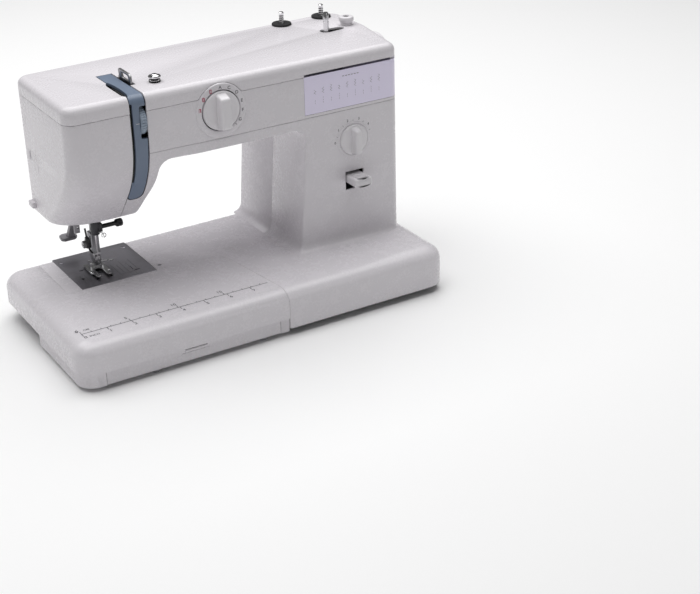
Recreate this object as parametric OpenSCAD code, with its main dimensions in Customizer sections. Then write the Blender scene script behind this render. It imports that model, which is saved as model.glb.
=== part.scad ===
// Free-arm sewing machine with a wide extension table.
// +X points to the handwheel, +Y to the back, +Z up. The origin is on the table top,
// under the middle of the machine's bounding box.

/* [Bed and table] */
// Height of the sewing surface above the table top
bed_top = 49; // [45:1:56]
// Left end of the extension table
table_left = -216; // [-224:1:-208]
// Right side of the machine base
base_right = 195; // [190:1:200]
// Front edge of the bed
bed_front = -110; // [-118:1:-104]
// Back edge of the machine base
base_back = 108; // [106:1:112]
// Back edge of the extension table's left wing
wing_back = 101; // [96:1:104]
// Radius of the bed's corners seen from above
bed_corner_r = 20; // [14:1:26]
// Radius along the bed's top edge
bed_edge_r = 11; // [6:1:12]
// Height of the seam under the table's top shell
table_seam = 19; // [17:1:21]
// Front side of the free arm
arm_front = 8; // [6:1:10]
// Left end of the free arm
free_arm_left = -178; // [-182:1:-176]
// Underside of the free arm
free_arm_under = 16; // [15:1:18]

/* [Arm and head] */
// Top of the arm
arm_top = 252; // [248:1:256]
// Underside of the arm over the throat
arm_under = 182; // [178:1:186]
// Front face of the arm, the head and the column
case_front = -37.6; // [-40:0.2:-36]
// Back face of the head at its left end
case_back_left = 92.2; // [90:0.2:96]
// Underside of the head
head_under = 113; // [110:1:116]
// Right side of the head at the throat
head_right = -88; // [-92:1:-84]
// Left side of the column at the bed
column_left = 62; // [58:1:66]
// Height of the seam under the top cover
top_seam = 239; // [236:1:242]
// Radius of the head's swept front
head_sweep_r = 95; // [85:1:105]
// Angle through which the head's front sweeps back
head_sweep = 40; // [34:1:44]
// Wall thickness of the mouldings
wall = 2.5; // [2:0.1:3]

/* [Sewing parts] */
// Needle, from side to side
needle_x = -132.5; // [-134:0.5:-131]
// Needle, from front to back
needle_y = 37; // [36:0.5:38]
// Height of the needle's point at the top of its stroke
needle_tip = 60; // [58:1:62]
// Presser bar, from side to side
presser_x = -131; // [-132:0.5:-130]
// Presser bar, from front to back
presser_y = 49; // [48.5:0.5:50]
// Height of the main shaft's axis
shaft_z = 214; // [212:1:216]
// Height of the lower shaft and the hook
hook_z = 31.5; // [31:0.5:32]
// Lower shaft, from front to back
lower_y = 58; // [57:0.5:59]

/* [Controls] */
// Radius of the handwheel
handwheel_r = 28; // [26:1:30]
// Radius of the finger knob on the handwheel
handwheel_knob_r = 17; // [14:1:18]
// Outer face of the handwheel
handwheel_face = 216; // [214:1:220]
// Radius of the pattern dial
pattern_dial_r = 19.5; // [17:0.5:21]
// Centre of the pattern dial, from side to side
pattern_dial_x = -20; // [-24:1:-16]
// Height of the pattern dial's centre
pattern_dial_z = 221; // [218:1:222]
// Radius of the stitch length dial
length_dial_r = 16; // [14:1:18]
// Radius of the spool pins
spool_pin_r = 2.65; // [2.4:0.05:3]
// Height of the spool pins above the top cover when they are pushed down
spool_pin_up = 14; // [12:1:18]

/* [Hidden] */
gap = 0.4;
run = 0.05;
case_back_right = 106.5;
case_left = free_arm_left;
case_right = 194;
top_edge_r = 8;
strip_left = -113.6;
strip_right = -97.4;
strip_foot = 139;
split_y = 30;
column_lean = 11;
plate = [-162.4, -81.2, 9.3, 93.5];
plate_t = 2;
door = [-172, -100, 18.5, 46];
lid = [-190, -4, 4.6, 18.6];
lid_hinge = [-106.4, 6];
seam_front_x = 6;
seam_back_x = -10;
shaft_r = 6;
lower_r = 5;
pulley_r = 20;
pulley_x = [150, 160];
sheave_r = 22;
sheave_x = [163, 171];
motor_y = -5;
motor_z = 82;
motor_r = 24;
motor_pulley_r = 8;
crank_r = 15;
crank_x = [-113, -105];
rod_length = 45;
tension_y = -25.5;
tension_z = 225.5;
tension_r = 15;
takeup_pivot = [62, 226];
takeup_x = [-95.5, -92.5];
takeup_eye = [10, 264];
lifter_pivot = [62, 118];
lifter_paddle = [90, 74];
foot_pivot = [46, 57];
feed_slots = [-7.5, 7.5];
pin_travel_stop = 236;
spindle = [145.6, 42];
winder_pivot = [154.3, -2];
winder_stop = [175, 50];
spool_pins = [[119, 90], [168, 91]];
handle_pivot = [107.5, 231];
handle_x = [-12, 112];
inlet = [20, 48, 13, 32];
switch = [58, 76, 13, 32];
plate_hole = [-74, 19.5];
length_dial = [128, 160];
reverse_x = [118, 138];
reverse_pivot = [-22, 118];
chassis_y = [68, 78];
$fn = 48;

function unit(v) = v / norm(v);
function left_of(v) = [-v.y, v.x];
function arc(c, r, from, to, steps) =
  [for (i = [0:steps]) c + r * [cos(from + (to - from) * i / steps), sin(from + (to - from) * i / steps)]];

// Corner i of an outline, moved inwards by d on both of its edges.
function moved_in(p, i, d) =
  let(n = len(p), n1 = left_of(unit(p[i] - p[(i + n - 1) % n])),
      n2 = left_of(unit(p[(i + 1) % n] - p[i])))
  p[i] + (n1 + n2) * d / (1 + n1 * n2);

// An anticlockwise outline with corner radii, moved inwards by g.
function rounded(p, radii, g = 0) = [
  for (i = [0:len(p) - 1])
    let(n = len(p), n1 = left_of(unit(p[i] - p[(i + n - 1) % n])),
        n2 = left_of(unit(p[(i + 1) % n] - p[i])), r = radii[i] - g,
        a1 = atan2(-n1.y, -n1.x), turn = acos(min(1, n1 * n2)))
    each r < 0.1 ? [moved_in(p, i, g)] : arc(moved_in(p, i, radii[i]), r, a1, a1 + turn, 8)];

module block(x0, x1, y0, y1, z0, z1) translate([x0, y0, z0]) cube([x1 - x0, y1 - y0, z1 - z0]);
module x_rod(x0, x1, y, z, r) translate([x0, y, z]) rotate([0, 90, 0]) cylinder(h = x1 - x0, r = r);
module y_rod(y0, y1, x, z, r) translate([x, y0, z]) rotate([-90, 0, 0]) cylinder(h = y1 - y0, r = r);
module z_rod(z0, z1, x, y, r) translate([x, y, z0]) cylinder(h = z1 - z0, r = r);
// A (Y, Z) outline swept along X, and an (X, Z) outline swept along Y.
module along_x(x0, x1) translate([x0, 0, 0]) rotate([90, 0, 90]) linear_extrude(x1 - x0) children();
module along_y(y0, y1) translate([0, y1, 0]) rotate([90, 0, 0]) linear_extrude(y1 - y0) children();
module along_z(z0, z1) translate([0, 0, z0]) linear_extrude(z1 - z0) children();
// A straight bar with slightly wider round ends between two points of a (Y, Z) plane.
module bar_yz(x, a, b, w) {
  d = b - a;
  body_w = w - 1;
  translate([x[0], a.x, a.y]) rotate([atan2(d.y, d.x), 0, 0])
    translate([0, 0, -body_w / 2]) cube([x[1] - x[0], norm(d), body_w]);
  x_rod(x[0], x[1], a.x, a.y, w / 2);
  x_rod(x[0], x[1], b.x, b.y, w / 2);
}
// A flat belt round two pulleys, in the (Y, Z) plane.
module belt(x, a, ra, b, rb, t) {
  module loop(g) {
    d = b - a;
    dir = atan2(d.y, d.x);
    lean = acos((ra - rb) / norm(d));
    function at(c, r, s) = c + (r + g) * [cos(dir + s * lean), sin(dir + s * lean)];
    translate(a) circle(ra + g);
    translate(b) circle(rb + g);
    polygon([at(a, ra, -1), at(b, rb, -1), at(b, rb, 1), at(a, ra, 1)]);
  }
  along_x(x[0], x[1]) difference() { loop(t); loop(0); }
}

// ---- the casing's outer form ----
case_corners = [[case_left, case_front], [182, case_front], [case_right, 40],
  [case_right, case_back_right], [case_left, case_back_left]];
case_radii = [13, 10, 40, 18, 12];

module case_plan(g) polygon(rounded(case_corners, case_radii, g));
function back_at(x) = case_back_left
  + (case_back_right - case_back_left) * (x - case_left) / (case_right - case_left);

module head_side(g) {
  sweep_z = 209;
  c = [case_front + head_sweep_r, sweep_z];
  r = head_sweep_r - g;
  lip = c + r * [cos(180 + head_sweep), sin(180 + head_sweep)];
  run_down = (lip.y - head_under - g) * tan(head_sweep);
  polygon(concat(
    arc([case_front + top_edge_r, arm_top - top_edge_r], top_edge_r - g, 90, 180, 6),
    arc(c, r, 180, 180 + head_sweep, 10),
    [[lip.x + run_down, head_under + g], [130, head_under + g], [130, arm_top - g]]));
}
module arm_side(g) polygon(concat(
  arc([case_front + top_edge_r, arm_top - top_edge_r], top_edge_r - g, 90, 180, 6),
  [[case_front + g, arm_under + g], [130, arm_under + g], [130, arm_top - g]]));
module column_face(g) polygon([[column_left + g, bed_top], [210, bed_top], [210, arm_under + 10],
  [column_left + column_lean + g, arm_under + 10], [column_left + column_lean + g, arm_under]]);

// The head, arm and column as one solid, moved inwards by g.
module case_solid(g) intersection() {
  along_z(bed_top, arm_top - g) case_plan(g);
  union() {
    along_x(case_left, head_right - g) head_side(g);
    along_x(case_left, 210) arm_side(g);
    along_y(-60, 130) column_face(g);
  }
}
module case_shell() difference() { case_solid(0); case_solid(wall); }

// Everything that passes through the casing's walls.
module case_cutouts() {
  x_rod(180, 200, needle_y, shaft_z, 13);
  y_rod(case_front - 1, case_front + 5, pattern_dial_x, pattern_dial_z, 6);
  y_rod(case_front - 1, case_front + 5, length_dial.x, length_dial.y, 6);
  block(reverse_x[0] - 1, reverse_x[1] + 1, case_front - 1, case_front + 5, 104, 126);
  block(-157, -103, 24, 88, head_under - 1, head_under + 5);
  block(spindle.x, spindle.x + 17.4, spindle.y - 3.8, spindle.y + 4.8, arm_top - 5, arm_top + 1);
  for (x = [0, 17.4]) z_rod(arm_top - 5, arm_top + 1, spindle.x + x, spindle.y + 0.5, 4.3);
  block(strip_right + 0.4, -91, -7, 37, arm_top - 12, arm_top + 1);
  block(strip_left - 3.5, strip_left, -33, 15, arm_top - 5, arm_top + 1);
}
// The room that the thread guide strip takes in the head's front and top.
module strip_room(g) {
  block(strip_left - g, strip_right + g, case_front - 20, -1, strip_foot - g, arm_top + 1);
  block(strip_left - g, strip_right + g, -1.1, 40 + g, arm_top - 6, arm_top + 1);
}

// ---- fixed pieces ----
module base_pan() color("gainsboro") difference() {
  union() {
    block(-170, 20, 14, 98, 3.5, 7.5);
    along_z(3.5, 7.5) polygon(rounded([[10, -104], [189, -104], [189, 102], [10, 102]],
      [4, 16, 16, 4]));
  }
  for (y = [-70, 70]) for (x = [45, 150]) z_rod(3, 8, x, y, 2.2);
}

module rubber_feet() color("dimgray")
  for (p = [[175, -88], [175, 88], [26, -88], [26, 88], [-160, 56]]) translate([p.x, p.y, 0]) {
    cylinder(h = 2.5, r = 7);
    translate([0, 0, 2.5]) cylinder(h = 1, r = 5.5);
  }

module chassis() color("silver") {
  y = chassis_y;
  difference() {
    union() {
      block(-158, 92, y[0] + 2, y[1], 19, 44);
      block(80, 92, -12, y[1], 10, 246);
      block(-150, 146, y[0], y[1], 192, 246);
      block(-150, -98, y[0], y[1], 128, 200);
      block(138, 146, 20, y[1], 192, 239);
      block(-90, -80, 22, y[1], 200, 230);
      block(-100, -92, 46, y[1], 21, 42);
      for (z = [124, 197]) block(-142, -124, 30, y[1], z, z + 9);
      block(-138.6, -133, 56, y[1], 112, 129);
      block(-91.4, -86, 54, y[1], 219, 233);
      block(10, 60, 20, 76, 20, 24);
    }
    for (z = [123, 196]) z_rod(z, z + 12, needle_x, needle_y, 3 + run);
    for (z = [123, 196]) z_rod(z, z + 12, presser_x, presser_y, 3 + run);
    for (x = [-91, 79, 137]) x_rod(x, x + 14, needle_y, shaft_z, 9);
    for (x = [-101, 79]) x_rod(x, x + 14, lower_y, hook_z, 8);
    block(60, 100, -4, 56, 130, 190);
    for (x = [-60, 0]) block(x, x + 40, 60, 90, 204, 236);
  }
  x_rod(-143.4, -138.6, lifter_pivot.x, lifter_pivot.y, 2);
  x_rod(-96, -91.4, takeup_pivot.x, takeup_pivot.y, 2);
}

// Bed block with rounded top edges over an outline, moved inwards by g.
module bed_block(p, radii, x, y, g, floor_z, round_left, round_right) intersection() {
  along_z(floor_z, bed_top - g) polygon(rounded(p, radii, g));
  along_x(-240, 240) polygon(concat([[y[0] + g, -1], [y[1] - g, -1]],
    arc([y[1] - bed_edge_r, bed_top - bed_edge_r], bed_edge_r - g, 0, 90, 6),
    arc([y[0] + bed_edge_r, bed_top - bed_edge_r], bed_edge_r - g, 90, 180, 6)));
  along_y(-130, 130) polygon(concat([[x[0] + g, -1], [x[1] - g, -1]],
    round_right ? arc([x[1] - bed_edge_r, bed_top - bed_edge_r], bed_edge_r - g, 0, 90, 6)
      : [[x[1] - g, bed_top - g]],
    round_left ? arc([x[0] + bed_edge_r, bed_top - bed_edge_r], bed_edge_r - g, 90, 180, 6)
      : [[x[0] + g, bed_top - g]]));
}

base_corners = [[seam_front_x + gap, bed_front], [base_right, bed_front], [base_right, base_back],
  [seam_back_x + gap, base_back], [seam_back_x + gap, arm_front]];
base_radii = [0, bed_corner_r, bed_corner_r, 0, 0];
module base_block(g, floor_z) bed_block(base_corners, base_radii, [seam_back_x, base_right],
  [bed_front, base_back], g, floor_z, false, true);

module bed_cover() color("whitesmoke") difference() {
  union() {
    base_block(0, 7.5);
    intersection() {
      along_z(7.5, bed_top) polygon(rounded(base_corners, base_radii));
      block(column_left - 4, 210, case_front - 2, 130, 7, 60);
    }
  }
  base_block(wall, 7);
  along_z(bed_top - 5, bed_top + 1) intersection() {
    case_plan(wall);
    translate([column_left + wall, -100]) square([200, 300]);
  }
  block(base_right - 5, base_right + 1, inlet[0], inlet[1], inlet[2], inlet[3]);
  block(base_right - 5, base_right + 1, switch[0], switch[1], switch[2], switch[3]);
  block(-12, 0, 12, 98, 18.5, bed_top - wall);
}

module free_arm_cover() color("whitesmoke") difference() {
  along_z(free_arm_under, bed_top) polygon(rounded([[free_arm_left, arm_front + gap],
    [seam_back_x, arm_front + gap], [seam_back_x, 102], [free_arm_left, 102]], [9, 0, 0, 9]));
  along_z(free_arm_under + wall, bed_top - wall) polygon(rounded([[free_arm_left, arm_front + gap],
    [seam_back_x + 9, arm_front + gap], [seam_back_x + 9, 102], [free_arm_left, 102]],
    [9, 0, 0, 9], wall));
  block(plate[0] - 0.2, plate[1] + 0.2, plate[2] - 0.2, plate[3] + 0.2, bed_top - 3, bed_top + 1);
  block(door[0] - gap, door[1] + gap, 0, 12, door[2] - gap, door[3] + gap);
  x_rod(door[0] - 2.2, door[1] + 2.2, 9.8, door[2] + 1.2, 1 + run);
  z_rod(bed_top - 5, bed_top + 1, plate_hole.x, plate_hole.y, 2.2);
}

module front_cover() color("whitesmoke") difference() {
  intersection() {
    case_shell();
    block(strip_left, 210, -60, split_y - 0.2, bed_top, top_seam - 0.2);
  }
  strip_room(0.4);
  case_cutouts();
  block(72, 210, case_front - 1, case_front + 1.2, 196, top_seam);
}

module rear_cover() color("whitesmoke") {
  difference() {
    union() {
      intersection() {
        case_shell();
        block(strip_left + 0.2, 210, split_y + 0.2, 130, bed_top, top_seam - 0.2);
      }
      for (x = [handle_x[0] - 8.4, handle_x[1] + 0.4])
        block(x, x + 8, back_at(x) - 1, handle_pivot.x + 2.2, handle_pivot.y - 6, handle_pivot.y + 6);
    }
    case_cutouts();
    x_rod(handle_x[0] - 7, handle_x[1] + 7, handle_pivot.x, handle_pivot.y, 2.5 + run);
  }
}

module top_cover() color("whitesmoke") difference() {
  union() {
    intersection() {
      case_shell();
      block(-200, 210, -60, 130, top_seam + 0.2, arm_top + 1);
    }
    for (p = spool_pins) z_rod(pin_travel_stop, arm_top - 1, p.x, p.y, 5);
    z_rod(pin_travel_stop, arm_top - 1, winder_pivot.x, winder_pivot.y, 2);
  }
  for (p = spool_pins) z_rod(pin_travel_stop - 1, arm_top + 1, p.x, p.y, spool_pin_r + run);
  strip_room(0.4);
  case_cutouts();
  z_rod(arm_top - 5, arm_top + 1, -73, -7, 1.5);
  z_rod(arm_top - 5, arm_top + 1, winder_stop.x, winder_stop.y, 2);
}

module face_cover() color("whitesmoke") difference() {
  intersection() {
    case_shell();
    block(-200, strip_left - 0.4, -60, 130, head_under, top_seam - 0.2);
  }
  case_cutouts();
  x_rod(case_left - 1, case_left + 4, 10, 196, 2.2);
}

module thread_guide_strip() color("slategray") difference() {
  intersection() {
    case_shell();
    strip_room(0);
  }
  block(-104.4, strip_right + 1, -60, -10, tension_z - tension_r - 1, tension_z + tension_r + 1);
}

module stitch_chart_panel() color("thistle") intersection() {
  along_z(196.4, top_seam - 0.6) difference() { case_plan(0); case_plan(1); }
  block(72.4, 172, -60, 0, 190, 250);
}

module needle_plate() color("gray") difference() {
  block(plate[0], plate[1], plate[2], plate[3], bed_top - plate_t, bed_top);
  block(needle_x - 4, needle_x + 4, needle_y - 1.2, needle_y + 1.2, 40, 60);
  for (x = feed_slots) block(needle_x + x - 1.5, needle_x + x + 1.5, 22, 60, 40, 60);
  block(needle_x - 1.5, needle_x + 1.5, 40, 60, 40, 60);
  for (p = plate_screw_places()) z_rod(40, 60, p.x, p.y, 1.6);
  z_rod(40, 60, -152.3, 32.3, 1.5);
}
function plate_screw_places() = [[plate[0] + 6, plate[3] - 12], [plate[1] - 6, plate[3] - 12]];

module screw_z(p, z, r, head_r, length) translate([p.x, p.y, z]) {
  cylinder(h = 1.2, r = head_r);
  translate([0, 0, -length]) cylinder(h = length, r = r);
}
module case_screws() color("silver") {
  for (p = plate_screw_places()) screw_z(p, bed_top, 1.5, 3, 2.8);
  screw_z(plate_hole, bed_top - 0.9, 1.9, 2.1, 5);
  x_rod(case_left + 0.4, case_left + 12, 10, 196, 2);
  for (x = [45, 150]) for (y = [-70, 70]) z_rod(2.2, 12, x, y, 2);
}

module hook_race() color("silver") {
  difference() {
    y_rod(20, 47, needle_x, hook_z, 12.8);
    y_rod(19, 44, needle_x, hook_z, 11.6);
    block(needle_x - 14, needle_x - 11, 19, 25.2, hook_z - 3.2, hook_z + 3.2);
    y_rod(43, 48, needle_x, hook_z, 3 + run);
    block(needle_x - 5, needle_x + 5, 34.5, 39.5, hook_z, 60);
  }
  block(-152, -145, 44, chassis_y[0] + 2, 26, 38);
}

module bobbin_case() color("lightgray") difference() {
  union() {
    y_rod(21, 35.5, needle_x, hook_z, 11);
    block(needle_x - 13, needle_x - 10, 21, 25, hook_z - 3, hook_z + 3);
  }
  difference() {
    y_rod(22, 36, needle_x, hook_z, 10.2);
    y_rod(21, 35, needle_x, hook_z, 2.8);
  }
}

module motor() color("dimgray") difference() {
  union() {
    x_rod(98, 140, motor_y, motor_z, motor_r);
    x_rod(92, 98, motor_y, motor_z, 14);
    x_rod(140, 148, motor_y, motor_z, 9);
  }
  x_rod(130, 149, motor_y, motor_z, 2.5 + run);
}

module shaft_bushes() color("peru") {
  for (x = [[-90, -80], [80, 92], [138, 146]]) difference() {
    x_rod(x[0], x[1], needle_y, shaft_z, 9);
    x_rod(x[0] - 1, x[1] + 1, needle_y, shaft_z, shaft_r + run);
  }
  for (x = [[-100, -92], [80, 92]]) difference() {
    x_rod(x[0], x[1], lower_y, hook_z, 8);
    x_rod(x[0] - 1, x[1] + 1, lower_y, hook_z, lower_r + run);
  }
}

module timing_belt() color("black")
  belt([pulley_x[0] + 1.5, pulley_x[1] - 1.5], [needle_y, shaft_z], pulley_r + 0.3,
    [lower_y, hook_z], pulley_r + 0.3, 1.6);
module motor_belt() color("black")
  belt([sheave_x[0] + 1.5, sheave_x[1] - 1.5], [needle_y, shaft_z], sheave_r + 0.3,
    [motor_y, motor_z], motor_pulley_r + 0.3, 2);

module spool_felts() color("black") for (p = spool_pins) difference() {
  z_rod(arm_top, arm_top + 2.2, p.x, p.y, 10.5);
  z_rod(arm_top - 1, arm_top + 4, p.x, p.y, spool_pin_r + 0.4);
}

module bobbin_stop() color("white") {
  z_rod(arm_top, arm_top + 2, winder_stop.x, winder_stop.y, 8);
  z_rod(arm_top + 2, arm_top + 10, winder_stop.x, winder_stop.y, 6.5);
  z_rod(arm_top - 6, arm_top, winder_stop.x, winder_stop.y, 1.9);
}

module pretension_guide() color("silver") translate([-73, -7, arm_top]) {
  cylinder(h = 1.2, r = 6);
  cylinder(h = 9, r = 1.5);
  translate([0, 0, 2.2]) cylinder(h = 1, r = 5.5);
  translate([0, 0, 3.6]) cylinder(h = 1, r = 5.5);
  translate([0, 0, 6]) cylinder(h = 3, r = 3.2);
  translate([0, 0, -6]) cylinder(h = 6, r = 1.4);
}

module tension_discs() color("silver") {
  x_rod(-112, -105.2, tension_y, tension_z, 2);
  for (x = [-111, -109, -107]) x_rod(x, x + 0.8, tension_y, tension_z, 9);
}

module lamp() color("lightyellow") {
  block(-164, -146, 58, chassis_y[0], 148, 156);
  z_rod(140, 158, -164, 62, 7.5);
  z_rod(124, 140, -164, 62, 6);
  translate([-164, 62, 124]) sphere(6);
}

module power_inlet() color("black") difference() {
  union() {
    block(base_right - 18, base_right - 0.4, inlet[0] + 0.4, inlet[1] - 0.4, inlet[2] + 0.4, inlet[3] - 0.4);
    block(base_right, base_right + 1.5, inlet[0] - 3, inlet[1] + 3, inlet[2] - 3, inlet[3] + 3);
    block(base_right - 1, base_right + 1, inlet[0] + 0.4, inlet[1] - 0.4, inlet[2] + 0.4, inlet[3] - 0.4);
  }
  block(base_right - 14, base_right + 3, inlet[0] + 3, inlet[1] - 3, inlet[2] + 3, inlet[3] - 3);
}

// ---- extension table ----
table_corners = [[table_left, bed_front], [seam_front_x, bed_front], [seam_back_x, arm_front],
  [free_arm_left - gap, arm_front], [free_arm_left - gap, wing_back], [table_left, wing_back]];
table_radii = [bed_corner_r, 0, 0, 0, 0, bed_corner_r];
module table_block(g, floor_z) bed_block(table_corners, table_radii, [table_left, seam_front_x + 1],
  [bed_front, wing_back], g, floor_z, true, false);

module extension_table() color("whitesmoke") difference() {
  union() {
    table_block(0, table_seam);
    intersection() {
      table_block(2.4, 4);
      block(-230, 20, -130, arm_front - 2.4, 0, table_seam + 1);
    }
  }
  // storage tray, relief behind it and the open underside of the wing
  intersection() {
    table_block(2.4 + wall, 6.5);
    union() {
      block(-230, 20, -130, -26, 6.5, bed_top);
      block(-230, 20, -23.5, 0.6, 6.5, bed_top);
    }
  }
  intersection() {
    table_block(wall, table_seam);
    union() {
      block(-230, 20, -130, -26, table_seam, bed_top);
      block(-230, 20, -23.5, arm_front - wall, table_seam, bed_top);
      block(-230, free_arm_left - gap - wall, arm_front - 0.1, wing_back - wall, table_seam - 2, bed_top);
    }
  }
  block(-230, free_arm_left - gap - wall, arm_front - 0.1, 130, 0, table_seam + 0.01);
  // window in the inner wall for the shuttle door, and the tray's mouth
  block(door[0] - 4, door[1] + 4, -3, arm_front + 1, 17, bed_top - 2);
  block(lid[0] - gap, lid[1] + gap, -115, -104, lid[2] - 2, lid[3] + gap);
  x_rod(lid[0] - 2, lid[1] + 2, lid_hinge.x, lid_hinge.y, 1 + run);
  // the wing's inner wall is left open at the free arm's end
  block(free_arm_left - 5, free_arm_left + 1, arm_front + 4, wing_back - 4, table_seam - 1, 45);
}

module table_feet() color("gainsboro")
  for (p = [[-137, -99], [-206, -6], [-20, -99]]) z_rod(0, 4, p.x, p.y, 4.5);

module storage_lid() color("whitesmoke") {
  x_rod(lid[0] - 1.8, lid[1] + 1.8, lid_hinge.x, lid_hinge.y, 1);
  block(lid[0], lid[1], bed_front + 2.4, bed_front + 4.8, lid[2], lid[3]);
  block((lid[0] + lid[1]) / 2 - 12, (lid[0] + lid[1]) / 2 + 12, bed_front + 0.6, bed_front + 2.5,
    lid[3] - 4, lid[3] - 1);
}

module shuttle_door() color("whitesmoke") {
  block(door[0], door[1], arm_front + gap, arm_front + gap + 2.4, door[2] + 1.2, door[3]);
  x_rod(door[0] - 2, door[1] + 2, 9.8, door[2] + 1.2, 1);
}

// ---- drive ----
module handwheel() color("whitesmoke") difference() {
  union() {
    x_rod(handwheel_face - 19, handwheel_face - 9, needle_y, shaft_z, handwheel_r);
    x_rod(handwheel_face - 10, handwheel_face, needle_y, shaft_z, handwheel_knob_r);
    x_rod(sheave_x[1], handwheel_face - 18, needle_y, shaft_z, 11);
    x_rod(sheave_x[0], sheave_x[1], needle_y, shaft_z, sheave_r);
  }
  x_rod(100, handwheel_face - 3, needle_y, shaft_z, shaft_r);
}
module main_shaft() color("silver") x_rod(crank_x[1], handwheel_face - 3, needle_y, shaft_z, shaft_r);
module crank() color("silver") {
  x_rod(crank_x[0], crank_x[1], needle_y, shaft_z, 20);
  x_rod(-120.5, crank_x[0], needle_y, shaft_z + crank_r, 3);
}
module upper_pulley() color("black") difference() {
  x_rod(pulley_x[0], pulley_x[1], needle_y, shaft_z, pulley_r);
  x_rod(pulley_x[0] - 1, pulley_x[1] + 1, needle_y, shaft_z, shaft_r);
}
module connecting_rod() color("silver") difference() {
  union() {
    bar_yz([-119, -114], [needle_y, shaft_z + crank_r], [needle_y, shaft_z + crank_r - rod_length], 8);
    x_rod(-119, -114, needle_y, shaft_z + crank_r, 6.5);
    x_rod(-122.5, -118, needle_y, shaft_z + crank_r - rod_length, 2);
  }
  x_rod(-123, -113, needle_y, shaft_z + crank_r, 3 + run);
}
module lower_shaft() color("silver") {
  x_rod(-112, 170, lower_y, hook_z, lower_r);
  x_rod(-118, -112, lower_y, hook_z, 8);
}
module lower_pulley() color("black") difference() {
  x_rod(pulley_x[0], pulley_x[1], lower_y, hook_z, pulley_r);
  x_rod(pulley_x[0] - 1, pulley_x[1] + 1, lower_y, hook_z, lower_r);
}
module motor_pulley() color("silver") {
  x_rod(132, sheave_x[0], motor_y, motor_z, 2.5);
  x_rod(sheave_x[0], sheave_x[1], motor_y, motor_z, motor_pulley_r);
}

module shuttle_hook() color("silver") difference() {
  union() {
    y_rod(38.2, 42.5, needle_x, hook_z, 11.3);
    y_rod(42, 51, needle_x, hook_z, 3);
  }
  translate([needle_x, 37, hook_z]) rotate([-90, 0, 0]) linear_extrude(4) intersection() {
    difference() { circle(12); circle(8); }
    polygon([[0, 0], [-30, -4], [-30, -30], [0, -30]]);
  }
}
module bobbin() color("gainsboro") difference() {
  union() {
    for (y = [[22.4, 23.6], [33.2, 34.6]]) y_rod(y[0], y[1], needle_x, hook_z, 9.8);
    y_rod(23.6, 33.2, needle_x, hook_z, 5);
  }
  y_rod(22, 35, needle_x, hook_z, 2.8 + run);
}

// ---- needle, take-up and presser ----
module needle_bar() color("silver") z_rod(96, 230, needle_x, needle_y, 3);
module needle_clamp() color("silver") difference() {
  union() {
    z_rod(92, 106, needle_x, needle_y, 4.5);
    block(needle_x, needle_x + 7, needle_y - 3, needle_y + 3, 94, 103);
    block(needle_x - 1, needle_x + 9, needle_y - 5.5, needle_y - 4, 91, 93);
  }
  z_rod(96, 107, needle_x, needle_y, 3);
  z_rod(90, 97, needle_x, needle_y, 1);
  x_rod(needle_x + 1, needle_x + 8, needle_y, 98.5, 1.6);
}
module needle() color("silver") {
  z_rod(needle_tip + 22, 96, needle_x, needle_y, 1);
  z_rod(needle_tip + 6, needle_tip + 22, needle_x, needle_y, 0.5);
  translate([needle_x, needle_y, needle_tip]) cylinder(h = 6, r1 = 0.15, r2 = 0.5);
}
module clamp_screw() color("black") {
  x_rod(needle_x + 3.1, -110, needle_y, 98.5, 1.5);
  x_rod(-111, -103, needle_y, 98.5, 4);
}

module takeup_lever() color("silver") difference() {
  union() {
    bar_yz(takeup_x, takeup_pivot, takeup_eye, 6);
    x_rod(takeup_x[0], takeup_x[1], takeup_pivot.x, takeup_pivot.y, 4.5);
  }
  x_rod(-97, -91, takeup_pivot.x, takeup_pivot.y, 2 + run);
  x_rod(-97, -91, takeup_eye.x + 1, takeup_eye.y - 0.7, 1.4);
}

module presser_bar() color("silver") z_rod(82, 208, presser_x, presser_y, 3);
module foot_holder() color("silver") difference() {
  union() {
    block(presser_x - 4.5, presser_x + 4.5, presser_y - 5, presser_y + 5, 66, 90);
    block(presser_x - 4.5, presser_x + 4.5, foot_pivot.x - 3.5, presser_y + 2, 60.5, 68);
    block(presser_x - 3, presser_x + 3, foot_pivot.x - 2.5, foot_pivot.x + 2.5, 54.4, 61);
  }
  z_rod(82, 91, presser_x, presser_y, 3);
  x_rod(presser_x - 10, presser_x + 10, foot_pivot.x, foot_pivot.y, 1.2 + run);
  x_rod(presser_x - 5, presser_x - 1, presser_y, 78, 1.6);
}
module foot_screw() color("dimgray") {
  x_rod(presser_x - 10, presser_x - 2, presser_y, 78, 1.5);
  x_rod(presser_x - 16, presser_x - 9, presser_y, 78, 4.8);
}
module presser_foot() color("silver") {
  difference() {
    block(needle_x - 10, needle_x + 10, 21, 58, 50.3, 52);
    block(needle_x - 4.2, needle_x + 4.2, 19, 42, 50, 53);
  }
  for (x = [-7, 5.4]) block(needle_x + x, needle_x + x + 1.6, foot_pivot.x - 3, foot_pivot.x + 3, 52, 59.5);
  x_rod(needle_x - 6, needle_x + 6, foot_pivot.x, foot_pivot.y, 1.2);
}
module presser_lifter() color("lightgray") {
  d = lifter_paddle - [0, 2] - lifter_pivot;
  difference() {
    union() {
      translate([-142.6, lifter_pivot.x, lifter_pivot.y]) rotate([atan2(d.y, d.x), 0, 0])
        translate([0, 0, -2.5]) cube([3.2, norm(d), 5]);
      x_rod(-143, -139, lifter_pivot.x, lifter_pivot.y, 4.5);
    }
    x_rod(-144, -138, lifter_pivot.x, lifter_pivot.y, 2 + run);
  }
  block(-152, -134, lifter_paddle.x - 7, lifter_paddle.x + 7, lifter_paddle.y - 4, lifter_paddle.y);
}

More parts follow.
